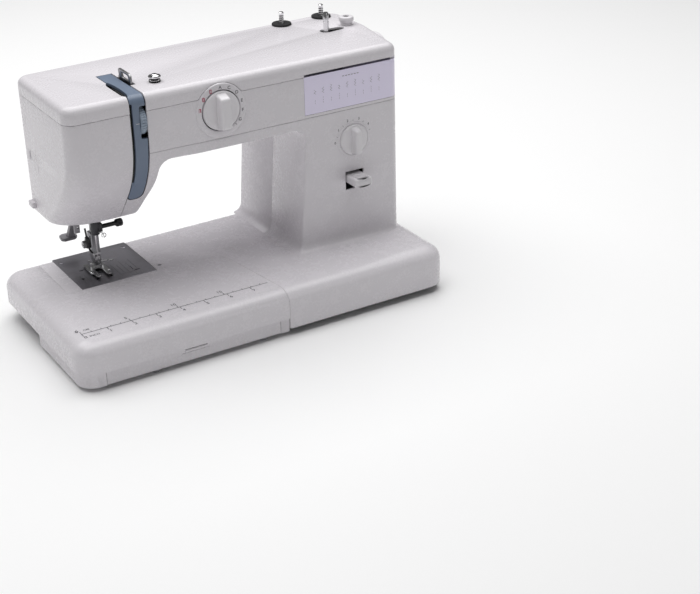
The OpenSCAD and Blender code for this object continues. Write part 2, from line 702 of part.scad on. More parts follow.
module feed_dog() color("silver") {
  block(needle_x - 9, needle_x + 9, 49.5, 60, 39, 43);
  block(needle_x - 9, needle_x + 9, 49.5, 55, 39, 46.4);
  for (x = feed_slots) block(needle_x + x - 1, needle_x + x + 1, 26, 55, 46, bed_top + 0.5);
  block(needle_x - 1, needle_x + 1, 43, 55, 46, bed_top + 0.5);
}

// ---- controls ----
module round_dial(p, r, depth, grip_h) {
  y_rod(case_front - 3, case_front - 0.6, p.x, p.y, r);
  block(p.x - 4, p.x + 4, case_front - depth, case_front - 2, p.y - grip_h, p.y + grip_h);
  y_rod(case_front - 0.6, case_front + 22, p.x, p.y, 5);
}
module pattern_dial() color("white")
  round_dial([pattern_dial_x, pattern_dial_z], pattern_dial_r, 14, pattern_dial_r - 2);
module length_dial() color("white") round_dial(length_dial, length_dial_r, 12, length_dial_r - 2);
module tension_dial() color("lightsteelblue") x_rod(-104, strip_right - 0.3, tension_y, tension_z, tension_r);

module reverse_lever() color("white") {
  block(reverse_x[0], reverse_x[1], -56, reverse_pivot.x, reverse_pivot.y - 3, reverse_pivot.y + 3);
  x_rod(reverse_x[0], reverse_x[1], reverse_pivot.x, reverse_pivot.y, 5);
}

module winder_arm() color("dimgray") difference() {
    union() {
      z_rod(240.5, 244.5, winder_pivot.x, winder_pivot.y, 6);
      block(spindle.x - 5, spindle.x + 6, winder_pivot.y, spindle.y + 5, 240.5, 244.5);
    }
    z_rod(240, 245, spindle.x, spindle.y, 2 + run);
    z_rod(240, 245, winder_pivot.x, winder_pivot.y, 2 + run);
}
module winder_spindle() color("whitesmoke") {
  z_rod(239.5, 246, spindle.x, spindle.y, 2);
  z_rod(245, 247.5, spindle.x, spindle.y, 6);
  z_rod(247, arm_top + 20, spindle.x, spindle.y, 3);
}

module spool_pin(p) color("silver") {
  z_rod(212, arm_top + spool_pin_up, p.x, p.y, spool_pin_r);
  z_rod(212, 215, p.x, p.y, 4);
}
module spool_pin_left() spool_pin(spool_pins[0]);
module spool_pin_right() spool_pin(spool_pins[1]);

module carry_handle() color("white") {
  y = [handle_pivot.x - 2.2, handle_pivot.x + 2.2];
  for (x = [handle_x[0], handle_x[1] - 12]) block(x, x + 12, y[0], y[1], 184, handle_pivot.y + 3);
  block(handle_x[0], handle_x[1], y[0], y[1], 184, 196);
  for (x = [handle_x[0] - 6.5, handle_x[1]]) x_rod(x, x + 6.5, handle_pivot.x, handle_pivot.y, 2.5);
}

module power_switch() color("black") {
  y = (switch[0] + switch[1]) / 2;
  z = (switch[2] + switch[3]) / 2;
  translate([base_right - 5, y, z]) rotate([0, 0, 8])
    translate([0, -7.5, -8.5]) cube([8, 15, 17]);
}

base_pan();
rubber_feet();
chassis();
bed_cover();
free_arm_cover();
front_cover();
rear_cover();
top_cover();
face_cover();
thread_guide_strip();
stitch_chart_panel();
needle_plate();
case_screws();
hook_race();
bobbin_case();
motor();
shaft_bushes();
timing_belt();
motor_belt();
spool_felts();
bobbin_stop();
pretension_guide();
tension_discs();
lamp();
power_inlet();
extension_table();
table_feet();
storage_lid();
shuttle_door();
handwheel();
main_shaft();
crank();
upper_pulley();
connecting_rod();
lower_shaft();
lower_pulley();
motor_pulley();
shuttle_hook();
bobbin();
needle_bar();
needle_clamp();
needle();
clamp_screw();
takeup_lever();
presser_bar();
foot_holder();
foot_screw();
presser_foot();
presser_lifter();
feed_dog();
pattern_dial();
length_dial();
tension_dial();
reverse_lever();
winder_arm();
winder_spindle();
spool_pin_left();
spool_pin_right();
carry_handle();
power_switch();
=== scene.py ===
import math

import bmesh
import bpy
from mathutils import Matrix, Vector


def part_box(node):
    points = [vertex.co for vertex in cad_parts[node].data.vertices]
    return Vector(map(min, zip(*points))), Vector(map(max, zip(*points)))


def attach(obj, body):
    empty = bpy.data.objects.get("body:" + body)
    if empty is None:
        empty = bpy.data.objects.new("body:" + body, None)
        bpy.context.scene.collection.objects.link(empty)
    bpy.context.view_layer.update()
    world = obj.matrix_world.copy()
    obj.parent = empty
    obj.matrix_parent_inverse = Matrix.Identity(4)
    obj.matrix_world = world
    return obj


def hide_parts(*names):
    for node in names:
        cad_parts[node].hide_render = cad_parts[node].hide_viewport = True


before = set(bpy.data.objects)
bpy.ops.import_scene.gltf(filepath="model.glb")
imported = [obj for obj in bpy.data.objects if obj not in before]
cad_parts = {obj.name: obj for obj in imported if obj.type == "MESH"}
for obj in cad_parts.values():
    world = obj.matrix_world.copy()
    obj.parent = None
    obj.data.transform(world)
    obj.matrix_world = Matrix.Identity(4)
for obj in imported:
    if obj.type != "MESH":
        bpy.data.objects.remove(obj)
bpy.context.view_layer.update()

# ---------------------------------------------------------------------------------------------
# Camera, light and floor
# The machine is seen from its front left corner, from a little above, over a white sweep.
# ---------------------------------------------------------------------------------------------
camera_data = bpy.data.cameras.new("camera")
camera_data.lens = 77.06
camera_data.sensor_width = 36
camera_data.clip_end = 20
camera = bpy.data.objects.new("camera", camera_data)
bpy.context.scene.collection.objects.link(camera)
camera_right = Vector((0.8534, -0.5204, -0.0249)).normalized()
camera_up = Vector((0.2500, 0.3671, 0.8956))
camera_up = (camera_up - camera_right * camera_up.dot(camera_right)).normalized()
camera_back = camera_right.cross(camera_up)
camera.matrix_world = Matrix((
    (camera_right.x, camera_up.x, camera_back.x, -0.618308),
    (camera_right.y, camera_up.y, camera_back.y, -1.279894),
    (camera_right.z, camera_up.z, camera_back.z, 0.696684),
    (0, 0, 0, 1)))
bpy.context.scene.camera = camera


def softbox(name, place, target, size, power):
    data = bpy.data.lights.new(name, "AREA")
    data.shape = "RECTANGLE"
    data.size, data.size_y = size
    data.energy = power
    light = bpy.data.objects.new(name, data)
    bpy.context.scene.collection.objects.link(light)
    light.location = place
    light.rotation_euler = (Vector(target) - Vector(place)).to_track_quat("-Z", "Y").to_euler()


softbox("top_softbox", (0.0, 0.45, 1.9), (0, 0.15, 0), (2.8, 2.4), 58)
softbox("left_softbox", (-1.8, -0.5, 0.9), (0, 0, 0.15), (1.0, 1.3), 0.15)
softbox("front_softbox", (0.5, -2.3, 1.1), (0, 0, 0.12), (1.4, 1.1), 2.6)
bpy.context.scene.view_settings.view_transform = "Standard"

world = bpy.data.worlds.new("studio")
bpy.context.scene.world = world
world.use_nodes = True
world.node_tree.nodes["Background"].inputs["Color"].default_value = (1, 1, 1, 1)
world.node_tree.nodes["Background"].inputs["Strength"].default_value = 0.12

bpy.ops.mesh.primitive_plane_add(size=9, location=(0, 0, -0.0004))
floor = bpy.context.object
floor.name = "floor"
floor_paint = bpy.data.materials.new("floor_paint")
floor_paint.use_nodes = True
floor_paint.node_tree.nodes["Principled BSDF"].inputs["Base Color"].default_value = (0.95, 0.95, 0.95, 1)
floor_paint.node_tree.nodes["Principled BSDF"].inputs["Roughness"].default_value = 0.75
floor.data.materials.append(floor_paint)

# ---------------------------------------------------------------------------------------------
# Casing: face, front, rear and top covers
# Injection-moulded white ABS shells about 2 mm thick that screw to the cast frame inside.
# They share one outer form, so that form is made once and the covers are cut from copies.
# ---------------------------------------------------------------------------------------------
def where(node):
    """Lowest and highest corners of a CAD node, in millimetres."""
    low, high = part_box(node)
    return low * 1000, high * 1000


def middle_of(node):
    """Middle of a CAD node's box, in millimetres."""
    low, high = where(node)
    return [(low[i] + high[i]) / 2 for i in range(3)]


def new_group(name, values, outputs):
    """An empty shader node group with value or colour inputs and the outputs named."""
    group = bpy.data.node_groups.new(name, "ShaderNodeTree")
    for label, default in values.items():
        kind = "NodeSocketColor" if isinstance(default, tuple) else "NodeSocketFloat"
        socket = group.interface.new_socket(label, in_out="INPUT", socket_type=kind)
        socket.default_value = default
    for label, kind in outputs.items():
        group.interface.new_socket(label, in_out="OUTPUT", socket_type=kind)
    return group, group.nodes.new("NodeGroupInput"), group.nodes.new("NodeGroupOutput")


def math_node(group, kind, a, b, clamp=False):
    node = group.nodes.new("ShaderNodeMath")
    node.operation = kind
    node.use_clamp = clamp
    for socket, value in zip(node.inputs, (a, b)):
        if isinstance(value, (int, float)):
            socket.default_value = value
        else:
            group.links.new(value, socket)
    return node.outputs[0]


def noise_of(group, vector, scale, detail=3, rough=0.55):
    node = group.nodes.new("ShaderNodeTexNoise")
    node.inputs["Scale"].default_value = scale
    node.inputs["Detail"].default_value = detail
    node.inputs["Roughness"].default_value = rough
    group.links.new(vector, node.inputs["Vector"])
    return node.outputs["Fac"]


def range_of(group, value, low, high, out_low, out_high):
    node = group.nodes.new("ShaderNodeMapRange")
    group.links.new(value, node.inputs["Value"])
    for label, number in zip(("From Min", "From Max", "To Min", "To Max"), (low, high, out_low, out_high)):
        node.inputs[label].default_value = number
    return node.outputs["Result"]


def mix_of(group, factor, a, b, blend="MIX"):
    node = group.nodes.new("ShaderNodeMix")
    node.data_type = "RGBA"
    node.blend_type = blend
    for socket, value in ((node.inputs["Factor"], factor), (node.inputs["A"], a), (node.inputs["B"], b)):
        if isinstance(value, (int, float, tuple)):
            socket.default_value = value
        else:
            group.links.new(value, socket)
    return node.outputs["Result"]


def moulded_skin():
    """Moulded plastic: slow tone drift, fine spark-eroded grain, faint handling marks."""
    group, given, made = new_group(
        "moulded_skin",
        {"Colour": (0.8, 0.8, 0.8, 1), "Drift": 0.008, "Gloss": 0.3, "Grain": 1.0},
        {"Colour": "NodeSocketColor", "Roughness": "NodeSocketFloat", "Height": "NodeSocketFloat"})
    place = group.nodes.new("ShaderNodeTexCoord").outputs["Object"]
    slow = noise_of(group, place, 14, 2)
    cloudy = noise_of(group, place, 70, 4)
    fine = noise_of(group, place, 1900, 2)
    marks = noise_of(group, place, 420, 5, 0.7)
    drift = math_node(group, "ADD", slow, math_node(group, "MULTIPLY", cloudy, 0.4))
    lift = range_of(group, drift, 0.45, 0.95, 0.0, 1.0)
    dark = mix_of(group, 1.0, given.outputs["Colour"], (0.90, 0.89, 0.88, 1), "MULTIPLY")
    share = math_node(group, "MULTIPLY", lift, math_node(group, "MULTIPLY", given.outputs["Drift"], 10), True)
    group.links.new(mix_of(group, share, given.outputs["Colour"], dark), made.inputs["Colour"])
    handled = range_of(group, marks, 0.45, 0.8, -0.005, 0.02)
    rough = math_node(group, "ADD", given.outputs["Gloss"], handled)
    rough = math_node(group, "ADD", rough, range_of(group, cloudy, 0.3, 0.7, -0.008, 0.012))
    group.links.new(rough, made.inputs["Roughness"])
    group.links.new(math_node(group, "MULTIPLY", fine, given.outputs["Grain"]), made.inputs["Height"])
    return group


skin_group = moulded_skin()


def finished(name, group, values, strength, depth, metallic=0.0):
    """A material whose colour, gloss and relief come from a shared finish; the depth is in metres."""
    paint = bpy.data.materials.new(name)
    paint.use_nodes = True
    nodes, links = paint.node_tree.nodes, paint.node_tree.links
    shader = nodes["Principled BSDF"]
    shader.inputs["IOR"].default_value = 1.5
    shader.inputs["Metallic"].default_value = metallic
    finish = nodes.new("ShaderNodeGroup")
    finish.node_tree = group
    for label, value in values.items():
        finish.inputs[label].default_value = value
    relief = nodes.new("ShaderNodeBump")
    relief.inputs["Strength"].default_value = strength
    relief.inputs["Distance"].default_value = depth
    links.new(finish.outputs["Colour"], shader.inputs["Base Color"])
    links.new(finish.outputs["Roughness"], shader.inputs["Roughness"])
    links.new(finish.outputs["Height"], relief.inputs["Height"])
    links.new(relief.outputs["Normal"], shader.inputs["Normal"])
    return paint


def plastic(name, colour, gloss=0.3, grain=1.0, drift=0.006, bump=0.012):
    values = {"Colour": (*colour, 1), "Gloss": gloss, "Grain": grain, "Drift": drift}
    return finished(name, skin_group, values, 0.07, bump * 0.001)


white_plastic = plastic("white_plastic", (0.735, 0.71, 0.742), gloss=0.27)
strip_blue = plastic("strip_blue", (0.16, 0.205, 0.285), gloss=0.36, grain=1.4)
# near-black for sheets set behind gaps and slots: painted shade
gap_shade_black = plastic("gap_shade_black", (0.012, 0.012, 0.014), gloss=0.6)


def alone(obj):
    bpy.ops.object.select_all(action="DESELECT")
    obj.select_set(True)
    bpy.context.view_layer.objects.active = obj


def pick(obj, kind, test):
    """Selects edges by their two ends, or faces by their centre and normal."""
    alone(obj)
    bpy.ops.object.mode_set(mode="EDIT")
    bpy.ops.mesh.select_mode(type=kind)
    bpy.ops.mesh.select_all(action="DESELECT")
    bpy.ops.object.mode_set(mode="OBJECT")
    if kind == "EDGE":
        for edge in obj.data.edges:
            a, b = (obj.data.vertices[i].co for i in edge.vertices)
            edge.select = bool(test(a, b))
    else:
        for face in obj.data.polygons:
            face.select = bool(test(face.center, face.normal))
    bpy.ops.object.mode_set(mode="EDIT")


def done():
    bpy.ops.object.mode_set(mode="OBJECT")


def round_edges(obj, width, steps, test):
    """Rounds the edges that a test picks by their two ends."""
    pick(obj, "EDGE", test)
    bpy.ops.mesh.bevel(offset=width, segments=steps, affect="EDGES")
    done()


def modify(obj, kind, **settings):
    """Adds a modifier and applies it."""
    alone(obj)
    modifier = obj.modifiers.new(kind.lower(), kind)
    for key, value in settings.items():
        setattr(modifier, key, value)
    bpy.ops.object.modifier_apply(modifier=modifier.name)


def soften(obj, width=0.35, steps=2, angle=38):
    """The small rounding that a mould leaves on every sharp edge."""
    modify(obj, "BEVEL", width=width, segments=steps, limit_method="ANGLE", angle_limit=math.radians(angle))


def carve(obj, tool, operation="DIFFERENCE"):
    modify(obj, "BOOLEAN", object=tool, operation=operation, solver="EXACT")
    bpy.data.objects.remove(tool)


def keep_behind(obj, point, normal, fill=False):
    """Cuts a mesh with a plane and keeps what lies behind the plane."""
    pick(obj, "FACE", lambda c, n: True)
    bpy.ops.mesh.bisect(plane_co=point, plane_no=normal, clear_outer=True, use_fill=fill)
    done()


def copy_of(obj, name):
    twin = obj.copy()
    twin.data = obj.data.copy()
    twin.name = name
    bpy.context.scene.collection.objects.link(twin)
    return twin


def block(name, low, high):
    """A box between two corners, in millimetres."""
    middle = (Vector(low) + Vector(high)) / 2
    bpy.ops.mesh.primitive_cube_add(size=1, location=middle, scale=Vector(high) - Vector(low))
    obj = bpy.context.object
    obj.name = name
    bpy.ops.object.transform_apply(location=True, rotation=False, scale=True)
    return obj


def rod(name, start, end, radius, sides=48):
    """A cylinder from one point to another, in millimetres."""
    start, end = Vector(start), Vector(end)
    turn = (end - start).to_track_quat("Z", "Y").to_euler()
    bpy.ops.mesh.primitive_cylinder_add(radius=radius, depth=(end - start).length, vertices=sides,
                                        location=(start + end) / 2, rotation=turn)
    obj = bpy.context.object
    obj.name = name
    bpy.ops.object.transform_apply(location=True, rotation=True, scale=True)
    return obj


def settle(obj, body, paint, nodes=(), smooth=32):
    """Brings a finished piece from millimetres to metres and hangs it on its body."""
    if nodes and obj.name.startswith(nodes[0] + "."):
        obj.name = nodes[0] + "_made"
    alone(obj)
    bpy.ops.object.shade_smooth_by_angle(angle=math.radians(smooth))
    obj.data.transform(Matrix.Scale(0.001, 4))
    obj.data.materials.clear()
    obj.data.materials.append(paint)
    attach(obj, body)
    if nodes:
        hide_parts(*nodes)


def arc(centre, rx, ry, start, end, steps):
    """Points on an ellipse's arc, angles in degrees."""
    points = []
    for i in range(steps + 1):
        angle = math.radians(start + (end - start) * i / steps)
        points.append((centre[0] + rx * math.cos(angle), centre[1] + ry * math.sin(angle)))
    return points


def rounded(corners, radii, inset=0.0, steps=8):
    """One arc of points for each corner of an anticlockwise outline, moved inwards by the inset."""
    arcs = []
    count = len(corners)
    for i, radius in enumerate(radii):
        here = Vector(corners[i])
        before = (here - Vector(corners[i - 1])).normalized()
        after = (Vector(corners[(i + 1) % count]) - here).normalized()
        n1, n2 = Vector((-before.y, before.x)), Vector((-after.y, after.x))
        centre = here + (n1 + n2) * radius / (1 + n1.dot(n2))
        turn = math.degrees(math.acos(max(-1, min(1, n1.dot(n2)))))
        first = math.degrees(math.atan2(-n1.y, -n1.x))
        arcs.append(arc(centre, radius - inset, radius - inset, first, first + turn, steps))
    return arcs


def smooth_step(value):
    value = max(0.0, min(1.0, value))
    return value * value * (3 - 2 * value)


def mesh_of(name, faces):
    """One object from faces given as lists of points; points that meet are merged."""
    form = bmesh.new()
    for face in faces:
        form.faces.new([form.verts.new(p) for p in face])
    bmesh.ops.remove_doubles(form, verts=form.verts, dist=0.02)
    bmesh.ops.dissolve_degenerate(form, edges=form.edges, dist=0.02)
    bmesh.ops.recalc_face_normals(form, faces=form.faces)
    mesh = bpy.data.meshes.new(name)
    form.to_mesh(mesh)
    form.free()
    obj = bpy.data.objects.new(name, mesh)
    bpy.context.scene.collection.objects.link(obj)
    return obj


def strip_faces(low, high, closed=False):
    """Quads between two rows of points."""
    count = len(low)
    last = count if closed else count - 1
    return [[low[i], low[(i + 1) % count], high[(i + 1) % count], high[i]] for i in range(last)]


top_low, top_high = where("top_cover")
case_left, case_front = top_low.x, top_low.y
case_right, arm_top = top_high.x, top_high.z
head_under = where("face_cover")[0].z
bed_top = where("needle_plate")[1].z
arm_under = 182
rear_left, rear_right = 92.2, 106.5
sweep_radius, sweep_z, sweep_turn = 95, 209, 40
throat_edge = 2.5
corner_fillet = 12
foot_flare = 9
fillet_z = arm_under - corner_fillet


def rear_at(x):
    return rear_left + (rear_right - rear_left) * (x - case_left) / (case_right - case_left)


def front_at(x, z):
    """Front face: upright on the arm, sweeping back under the head."""
    depth = sweep_z - z
    lip = sweep_radius * math.sin(math.radians(sweep_turn))
    if depth <= 0:
        swept = case_front
    elif depth < lip:
        swept = case_front + sweep_radius - math.sqrt(sweep_radius ** 2 - depth ** 2)
    else:
        swept = (case_front + sweep_radius * (1 - math.cos(math.radians(sweep_turn)))
                 + (depth - lip) * math.tan(math.radians(sweep_turn)))
    return swept + (case_front - swept) * smooth_step((x + 76) / 36)


def head_side(z):
    """Right side of the head below the throat's corner."""
    steps = [(113, -96), (122, -93.8), (134, -91.6), (146, -89), (160, -86.6), (170, -85.6)]
    for (z0, x0), (z1, x1) in zip(steps, steps[1:]):
        if z <= z1:
            return x0 + (x1 - x0) * (z - z0) / (z1 - z0)
    return steps[-1][1]


case_corners = [(182, case_front), (case_right, 40), (case_right, rear_right), (case_left, rear_left),
                (case_left, case_front)]
case_radii = [10, 40, 18, 12, 13]


def head_strip(z, inset, front_x, rear_x):
    """Outline of the head from its rear right edge round the left side to its front right edge."""
    arcs = rounded(case_corners, case_radii, inset)
    grow = max(0.0, (200 - z) / 87) ** 1.5
    rx, ry = 13 + 31 * grow, 13 + 19 * grow
    front = front_at(case_left, z)
    corner = arc((case_left + rx, front + ry), rx - inset, ry - inset, 180, 270, 14)
    run = [(min(x, front_x), front + inset) for x in (-128, -113.5, -105.5, -97.5, front_x)]
    points = [(rear_x, rear_at(rear_x) - inset)] + arcs[3] + corner + run[:-1]
    return [(*p, z) for p in points + [(front_x, front_at(front_x, z) + inset)]]


def flare_at(z):
    """How far the column's foot spreads over the bed."""
    rise = min(foot_flare, max(0.0, foot_flare - (z - bed_top)))
    return foot_flare - math.sqrt(foot_flare ** 2 - rise ** 2)


def column_side(z):
    return 62 + 11 * (z - bed_top) / (arm_under - bed_top) - flare_at(z)


def column_strip(z, inset, front_x, rear_x):
    """Outline of the column from its front left edge round the right side to its rear left edge."""
    arcs = rounded(case_corners, case_radii, inset)
    points = [(front_x, case_front + inset), (120, case_front + inset)] + arcs[0] + arcs[1] + arcs[2]
    points.append((rear_x, rear_at(rear_x) - inset))
    flare = flare_at(z)
    spread = [(x, y - flare * smooth_step((188 - x) / 30) * smooth_step((20 - y) / 50)) for x, y in points]
    return [(*p, z) for p in spread]


middle_xs = [-68, -62, -56, -50, -44, -38, 0, 40]


def throat_row(x, z, lean, inset=0.0):
    """One cross row of the throat's wall: its rounded front edge, the wall, its rounded rear edge."""
    row = []
    for angle in (90, 67.5, 45, 22.5, 0):
        turn = math.radians(angle)
        off = throat_edge * (1 - math.cos(turn))
        edge_x, edge_z = x + lean[0] * throat_edge, z + lean[1] * throat_edge
        y = front_at(edge_x, edge_z) + inset if x < 20 else case_front - flare_at(z)
        row.append((x + lean[0] * off, y + throat_edge * (1 - math.sin(turn)), z + lean[1] * off))
    for angle in (0, 30, 60, 90):
        turn = math.radians(angle)
        off = throat_edge * (1 - math.cos(turn))
        edge = rear_at(x + lean[0] * throat_edge) - inset
        row.append((x + lean[0] * off, edge - throat_edge * (1 - math.sin(turn)), z + lean[1] * off))
    return row


faces = []
rows, head_rings, column_rings = [], [], []
under_radius = 4
under_steps = [(under_radius * (1 - math.sin(math.radians(t))),
                under_radius * (1 - math.cos(math.radians(t))))
               for t in (0, 22.5, 45, 67.5, 90)]
for inset, rise in under_steps:
    z = head_under + rise
    rows.append(throat_row(head_side(z) - inset, z, (-1, 0), inset))
    head_rings.append(head_strip(z, inset, rows[-1][0][0], rows[-1][-1][0]))
for z in (122, 128, 134, 140, 146, 152, 158, 164):
    rows.append(throat_row(head_side(z), z, (-1, 0)))
    head_rings.append(head_strip(z, 0, rows[-1][0][0], rows[-1][-1][0]))
fillet_x = head_side(fillet_z) + corner_fillet
for angle in (0, 18, 36, 54, 72, 90):
    lean = (-math.cos(math.radians(angle)), math.sin(math.radians(angle)))
    x, z = fillet_x + corner_fillet * lean[0], fillet_z + corner_fillet * lean[1]
    rows.append(throat_row(x, z, lean))
    head_rings.append(head_strip(rows[-1][0][2], 0, rows[-1][0][0], rows[-1][-1][0]))
for x in middle_xs:
    rows.append(throat_row(x, arm_under, (0, 1)))
fillet_x = column_side(fillet_z) - corner_fillet
for angle in (90, 72, 54, 36, 18, 0):
    lean = (math.cos(math.radians(angle)), math.sin(math.radians(angle)))
    x, z = fillet_x + corner_fillet * lean[0], fillet_z + corner_fillet * lean[1]
    rows.append(throat_row(x, z, lean))
    column_rings.append(column_strip(rows[-1][0][2], 0, rows[-1][0][0], rows[-1][-1][0]))
for z in (140, 110, 80, 62, 58, 55.5, 53, 51, 49.8, bed_top, 48.2):
    x = column_side(max(z, bed_top))
    rows.append(throat_row(x, z, (1, 0)))
    column_rings.append(column_strip(max(z, bed_top), 0, rows[-1][0][0], rows[-1][-1][0]))
    column_rings[-1] = [(p[0], p[1], z) for p in column_rings[-1]]

head_front, column_front = head_rings[-1][-1][0], column_rings[0][0][0]
head_rear, column_rear = head_rings[-1][0][0], column_rings[0][-1][0]
arm_rings = []
top_edge = 8
arm_levels = [(arm_under + throat_edge, 0), (190, 0), (198, 0), (209, 0), (226, 0)]
for angle in (0, 15, 30, 45, 60, 75, 90):
    turn = math.radians(angle)
    arm_levels.append((arm_top - top_edge * (1 - math.sin(turn)), top_edge * (1 - math.cos(turn))))
for z, inset in arm_levels:
    ring = head_strip(z, inset, head_front, head_rear)
    ring += [(x, front_at(x, z) + inset, z) for x in middle_xs]
    ring += column_strip(z, inset, column_front, column_rear)
    ring += [(x, rear_at(x) - inset, z) for x in reversed(middle_xs)]
    arm_rings.append(ring)
for low, high in zip(rows, rows[1:]):
    faces += strip_faces(low, high)
for rings in (head_rings, column_rings):
    for low, high in zip(rings, rings[1:]):
        faces += strip_faces(low, high)
for low, high in zip(arm_rings, arm_rings[1:]):
    faces += strip_faces(low, high, closed=True)
faces.append(head_rings[0] + rows[0][1:-1])
faces.append(arm_rings[-1])
casing_form = mesh_of("casing_form", faces)

top_seam = top_low.z - 0.2
front_split = 193
face_x = where("thread_guide_strip")[0].x
cover_wall = 2.2
seam = 0.22


def prism(name, outline, z0, z1):
    """An upright solid over an outline given as (x, y) points."""
    low = [(*p, z0) for p in outline]
    high = [(*p, z1) for p in outline]
    return mesh_of(name, strip_faces(low, high, closed=True) + [list(reversed(low)), high])


def cover(name, cuts, thick=cover_wall):
    """One cover cut from the casing's form and given its wall."""
    obj = copy_of(casing_form, name)
    for point, normal in cuts:
        keep_behind(obj, point, normal)
    modify(obj, "SOLIDIFY", thickness=thick, offset=-1, use_even_offset=True, use_quality_normals=True)
    return obj


below_top = ((0, 0, top_seam - seam), (0, 0, 1))
right_of_face = ((face_x + 0.25, 0, 0), (-1, 0, 0))
strip_cut_left, strip_cut_right = face_x - 0.45, -96.9
strip_foot = 138.2
joint_y = 30


def strip_room():
    """The channel for the thread guide strip, with its rounded foot."""
    room = block("strip_room", (strip_cut_left, -70, strip_foot), (strip_cut_right, -1, 270))
    foot_edge = strip_foot + 0.1
    round_edges(room, 6.5, 6, lambda a, b: a.z < foot_edge and b.z < foot_edge and abs(a.x - b.x) < 0.1)
    return room


dial_x, _, dial_z = middle_of("pattern_dial")
bezel_radius = 27.2

face = cover("face_cover", [below_top, ((face_x - 0.35, 0, 0), (1, 0, 0))])
before_joint = ((0, joint_y - 0.2, 0), (0, 1, 0))
behind_joint = ((0, joint_y + 0.2, 0), (0, -1, 0))
front_upper = cover("front_cover_upper", [below_top, right_of_face, before_joint,
                                          ((0, 0, front_split + seam), (0, 0, -1))])
front_lower = cover("front_cover_lower", [right_of_face, before_joint,
                                          ((0, 0, front_split - seam), (0, 0, 1))])
rear = cover("rear_cover", [below_top, right_of_face, behind_joint])
lid_top = cover("top_cover", [((0, 0, top_seam + seam), (0, 0, -1))])

for panel in (front_upper, front_lower, lid_top, face):
    carve(panel, strip_room())
carve(lid_top, block("strip_top_room", (strip_cut_left, -2, arm_top - 12),
                     (strip_cut_right, 40.6, arm_top + 2)))
carve(lid_top, rod("bezel_notch", (dial_x, -60, dial_z), (dial_x, -34, dial_z), bezel_radius + 0.45, 96))
carve(front_upper, rod("bezel_seat", (dial_x, -60, dial_z), (dial_x, -30, dial_z), bezel_radius - 2, 96))

# thread slot beside the strip, its bay curving out of the strip's left edge
slot_outline = arc((face_x + 1.2, 4), 4.6, 11, 90, 180, 8) + arc((face_x + 1.2, -26), 4.6, 6, 180, 250, 6)
slot_outline += [(face_x + 2, -33), (face_x + 2, 15)]
carve(lid_top, prism("thread_slot", slot_outline, arm_top - 14, arm_top + 2))
# slot for the take-up lever on the strip's right
carve(lid_top, block("takeup_slot", (strip_cut_right - 1, -4, arm_top - 12), (-91.4, 27, arm_top + 2)))
# holes of the spool pins and the slot of the bobbin winder
for node in ("spool_pin_left", "spool_pin_right"):
    x, y, _ = middle_of(node)
    carve(lid_top, rod("pin_hole", (x, y, arm_top - 12), (x, y, arm_top + 2), 3.1, 32))
spindle_x, spindle_y, _ = middle_of("winder_spindle")
winder_slot = arc((spindle_x, spindle_y + 0.5), 6.6, 6.6, 90, 270, 12)
winder_slot += arc((spindle_x + 16.6, spindle_y + 0.5), 4.8, 4.8, -90, 90, 12)
carve(lid_top, prism("winder_slot", winder_slot, arm_top - 12, arm_top + 2))
# shaft hole for the handwheel
_, shaft_y, shaft_z = middle_of("main_shaft")
for panel in (rear, front_upper):
    carve(panel, rod("wheel_hole", (180, shaft_y, shaft_z), (200, shaft_y, shaft_z), 13, 48))
# window for the needle and presser bars under the head
carve(face, block("head_window", (-158, 24, head_under - 4), (face_x + 2, 86, head_under + 6)))
for panel in (front_lower, rear):
    carve(panel, block("head_window", (face_x - 4, 24, head_under - 4), (-103, 86, head_under + 6)))
# slot of the reverse lever
reverse_low, reverse_high = where("reverse_lever")
carve(front_lower, block("reverse_slot", (reverse_low.x - 0.9, -50, 106), (reverse_high.x + 0.9, -25, 126)))
# thread cutter slot in the face cover
cutter_y, cutter_z = 71, 176
cutter = rod("cutter_slot", (case_left - 3, cutter_y, cutter_z),
             (case_left + 0.9, cutter_y, cutter_z), 3.2, 24)
cutter_place = Matrix.Translation((0, cutter_y, cutter_z))
cutter.data.transform(cutter_place @ Matrix.Diagonal((1, 0.7, 1.6, 1)) @ cutter_place.inverted())
carve(face, cutter)

covers = ((face, "face_cover"), (front_upper, "front_cover"), (front_lower, "front_cover"),
          (rear, "rear_cover"), (lid_top, "top_cover"))
for panel, node in covers:
    soften(panel, 0.4, 2, 50)
for panel, node in covers:
    settle(panel, "frame", white_plastic, (node,))

# ---------------------------------------------------------------------------------------------
# Thread guide strip
# Grey-blue moulded band that follows the head's front and top; its left edge leads the thread.
# It clips into a black liner, which shows as the dark gap on both sides.
# --------------------------------------------------------------------------------------------- A near-black liner sits behind it and paints the shade in the gaps on both sides.
tension_low, tension_high = where("tension_dial")
window_z = (tension_low.z - 1.2, tension_high.z + 1.2)
strip = cover("thread_guide_strip", [((face_x + 0.5, 0, 0), (-1, 0, 0)), ((-98.3, 0, 0), (1, 0, 0)),
                                     ((0, 0, strip_foot + 0.8), (0, 0, -1)), ((0, 40, 0), (0, 1, 0))], 3.0)
trim = block("strip_trim", (face_x + 0.5, -70, strip_foot + 0.8), (-98.3, 41, 270))
round_edges(trim, 6, 6, lambda a, b: a.z < 150 and b.z < 150 and abs(a.x - b.x) < 0.1)
carve(strip, trim, "INTERSECT")
window = block("tension_window", (-104.4, -60, window_z[0]), (-95, -10, window_z[1]))
round_edges(window, 2, 4, lambda a, b: a.x < -104 and b.x < -104 and abs(a.y - b.y) > 1)
liner_window = copy_of(window, "liner_window")
carve(strip, window)
carve(strip, block("thread_gap", (face_x - 1, -70, 120), (face_x + 2.5, -24, 245)))
bay = arc((face_x + 0.4, -8), 3.4, 25, -90, 90, 16)
carve(strip, prism("strip_bay", bay, arm_top - 12, arm_top + 2))
soften(strip, 0.7, 3, 50)
settle(strip, "frame", strip_blue, ("thread_guide_strip",))
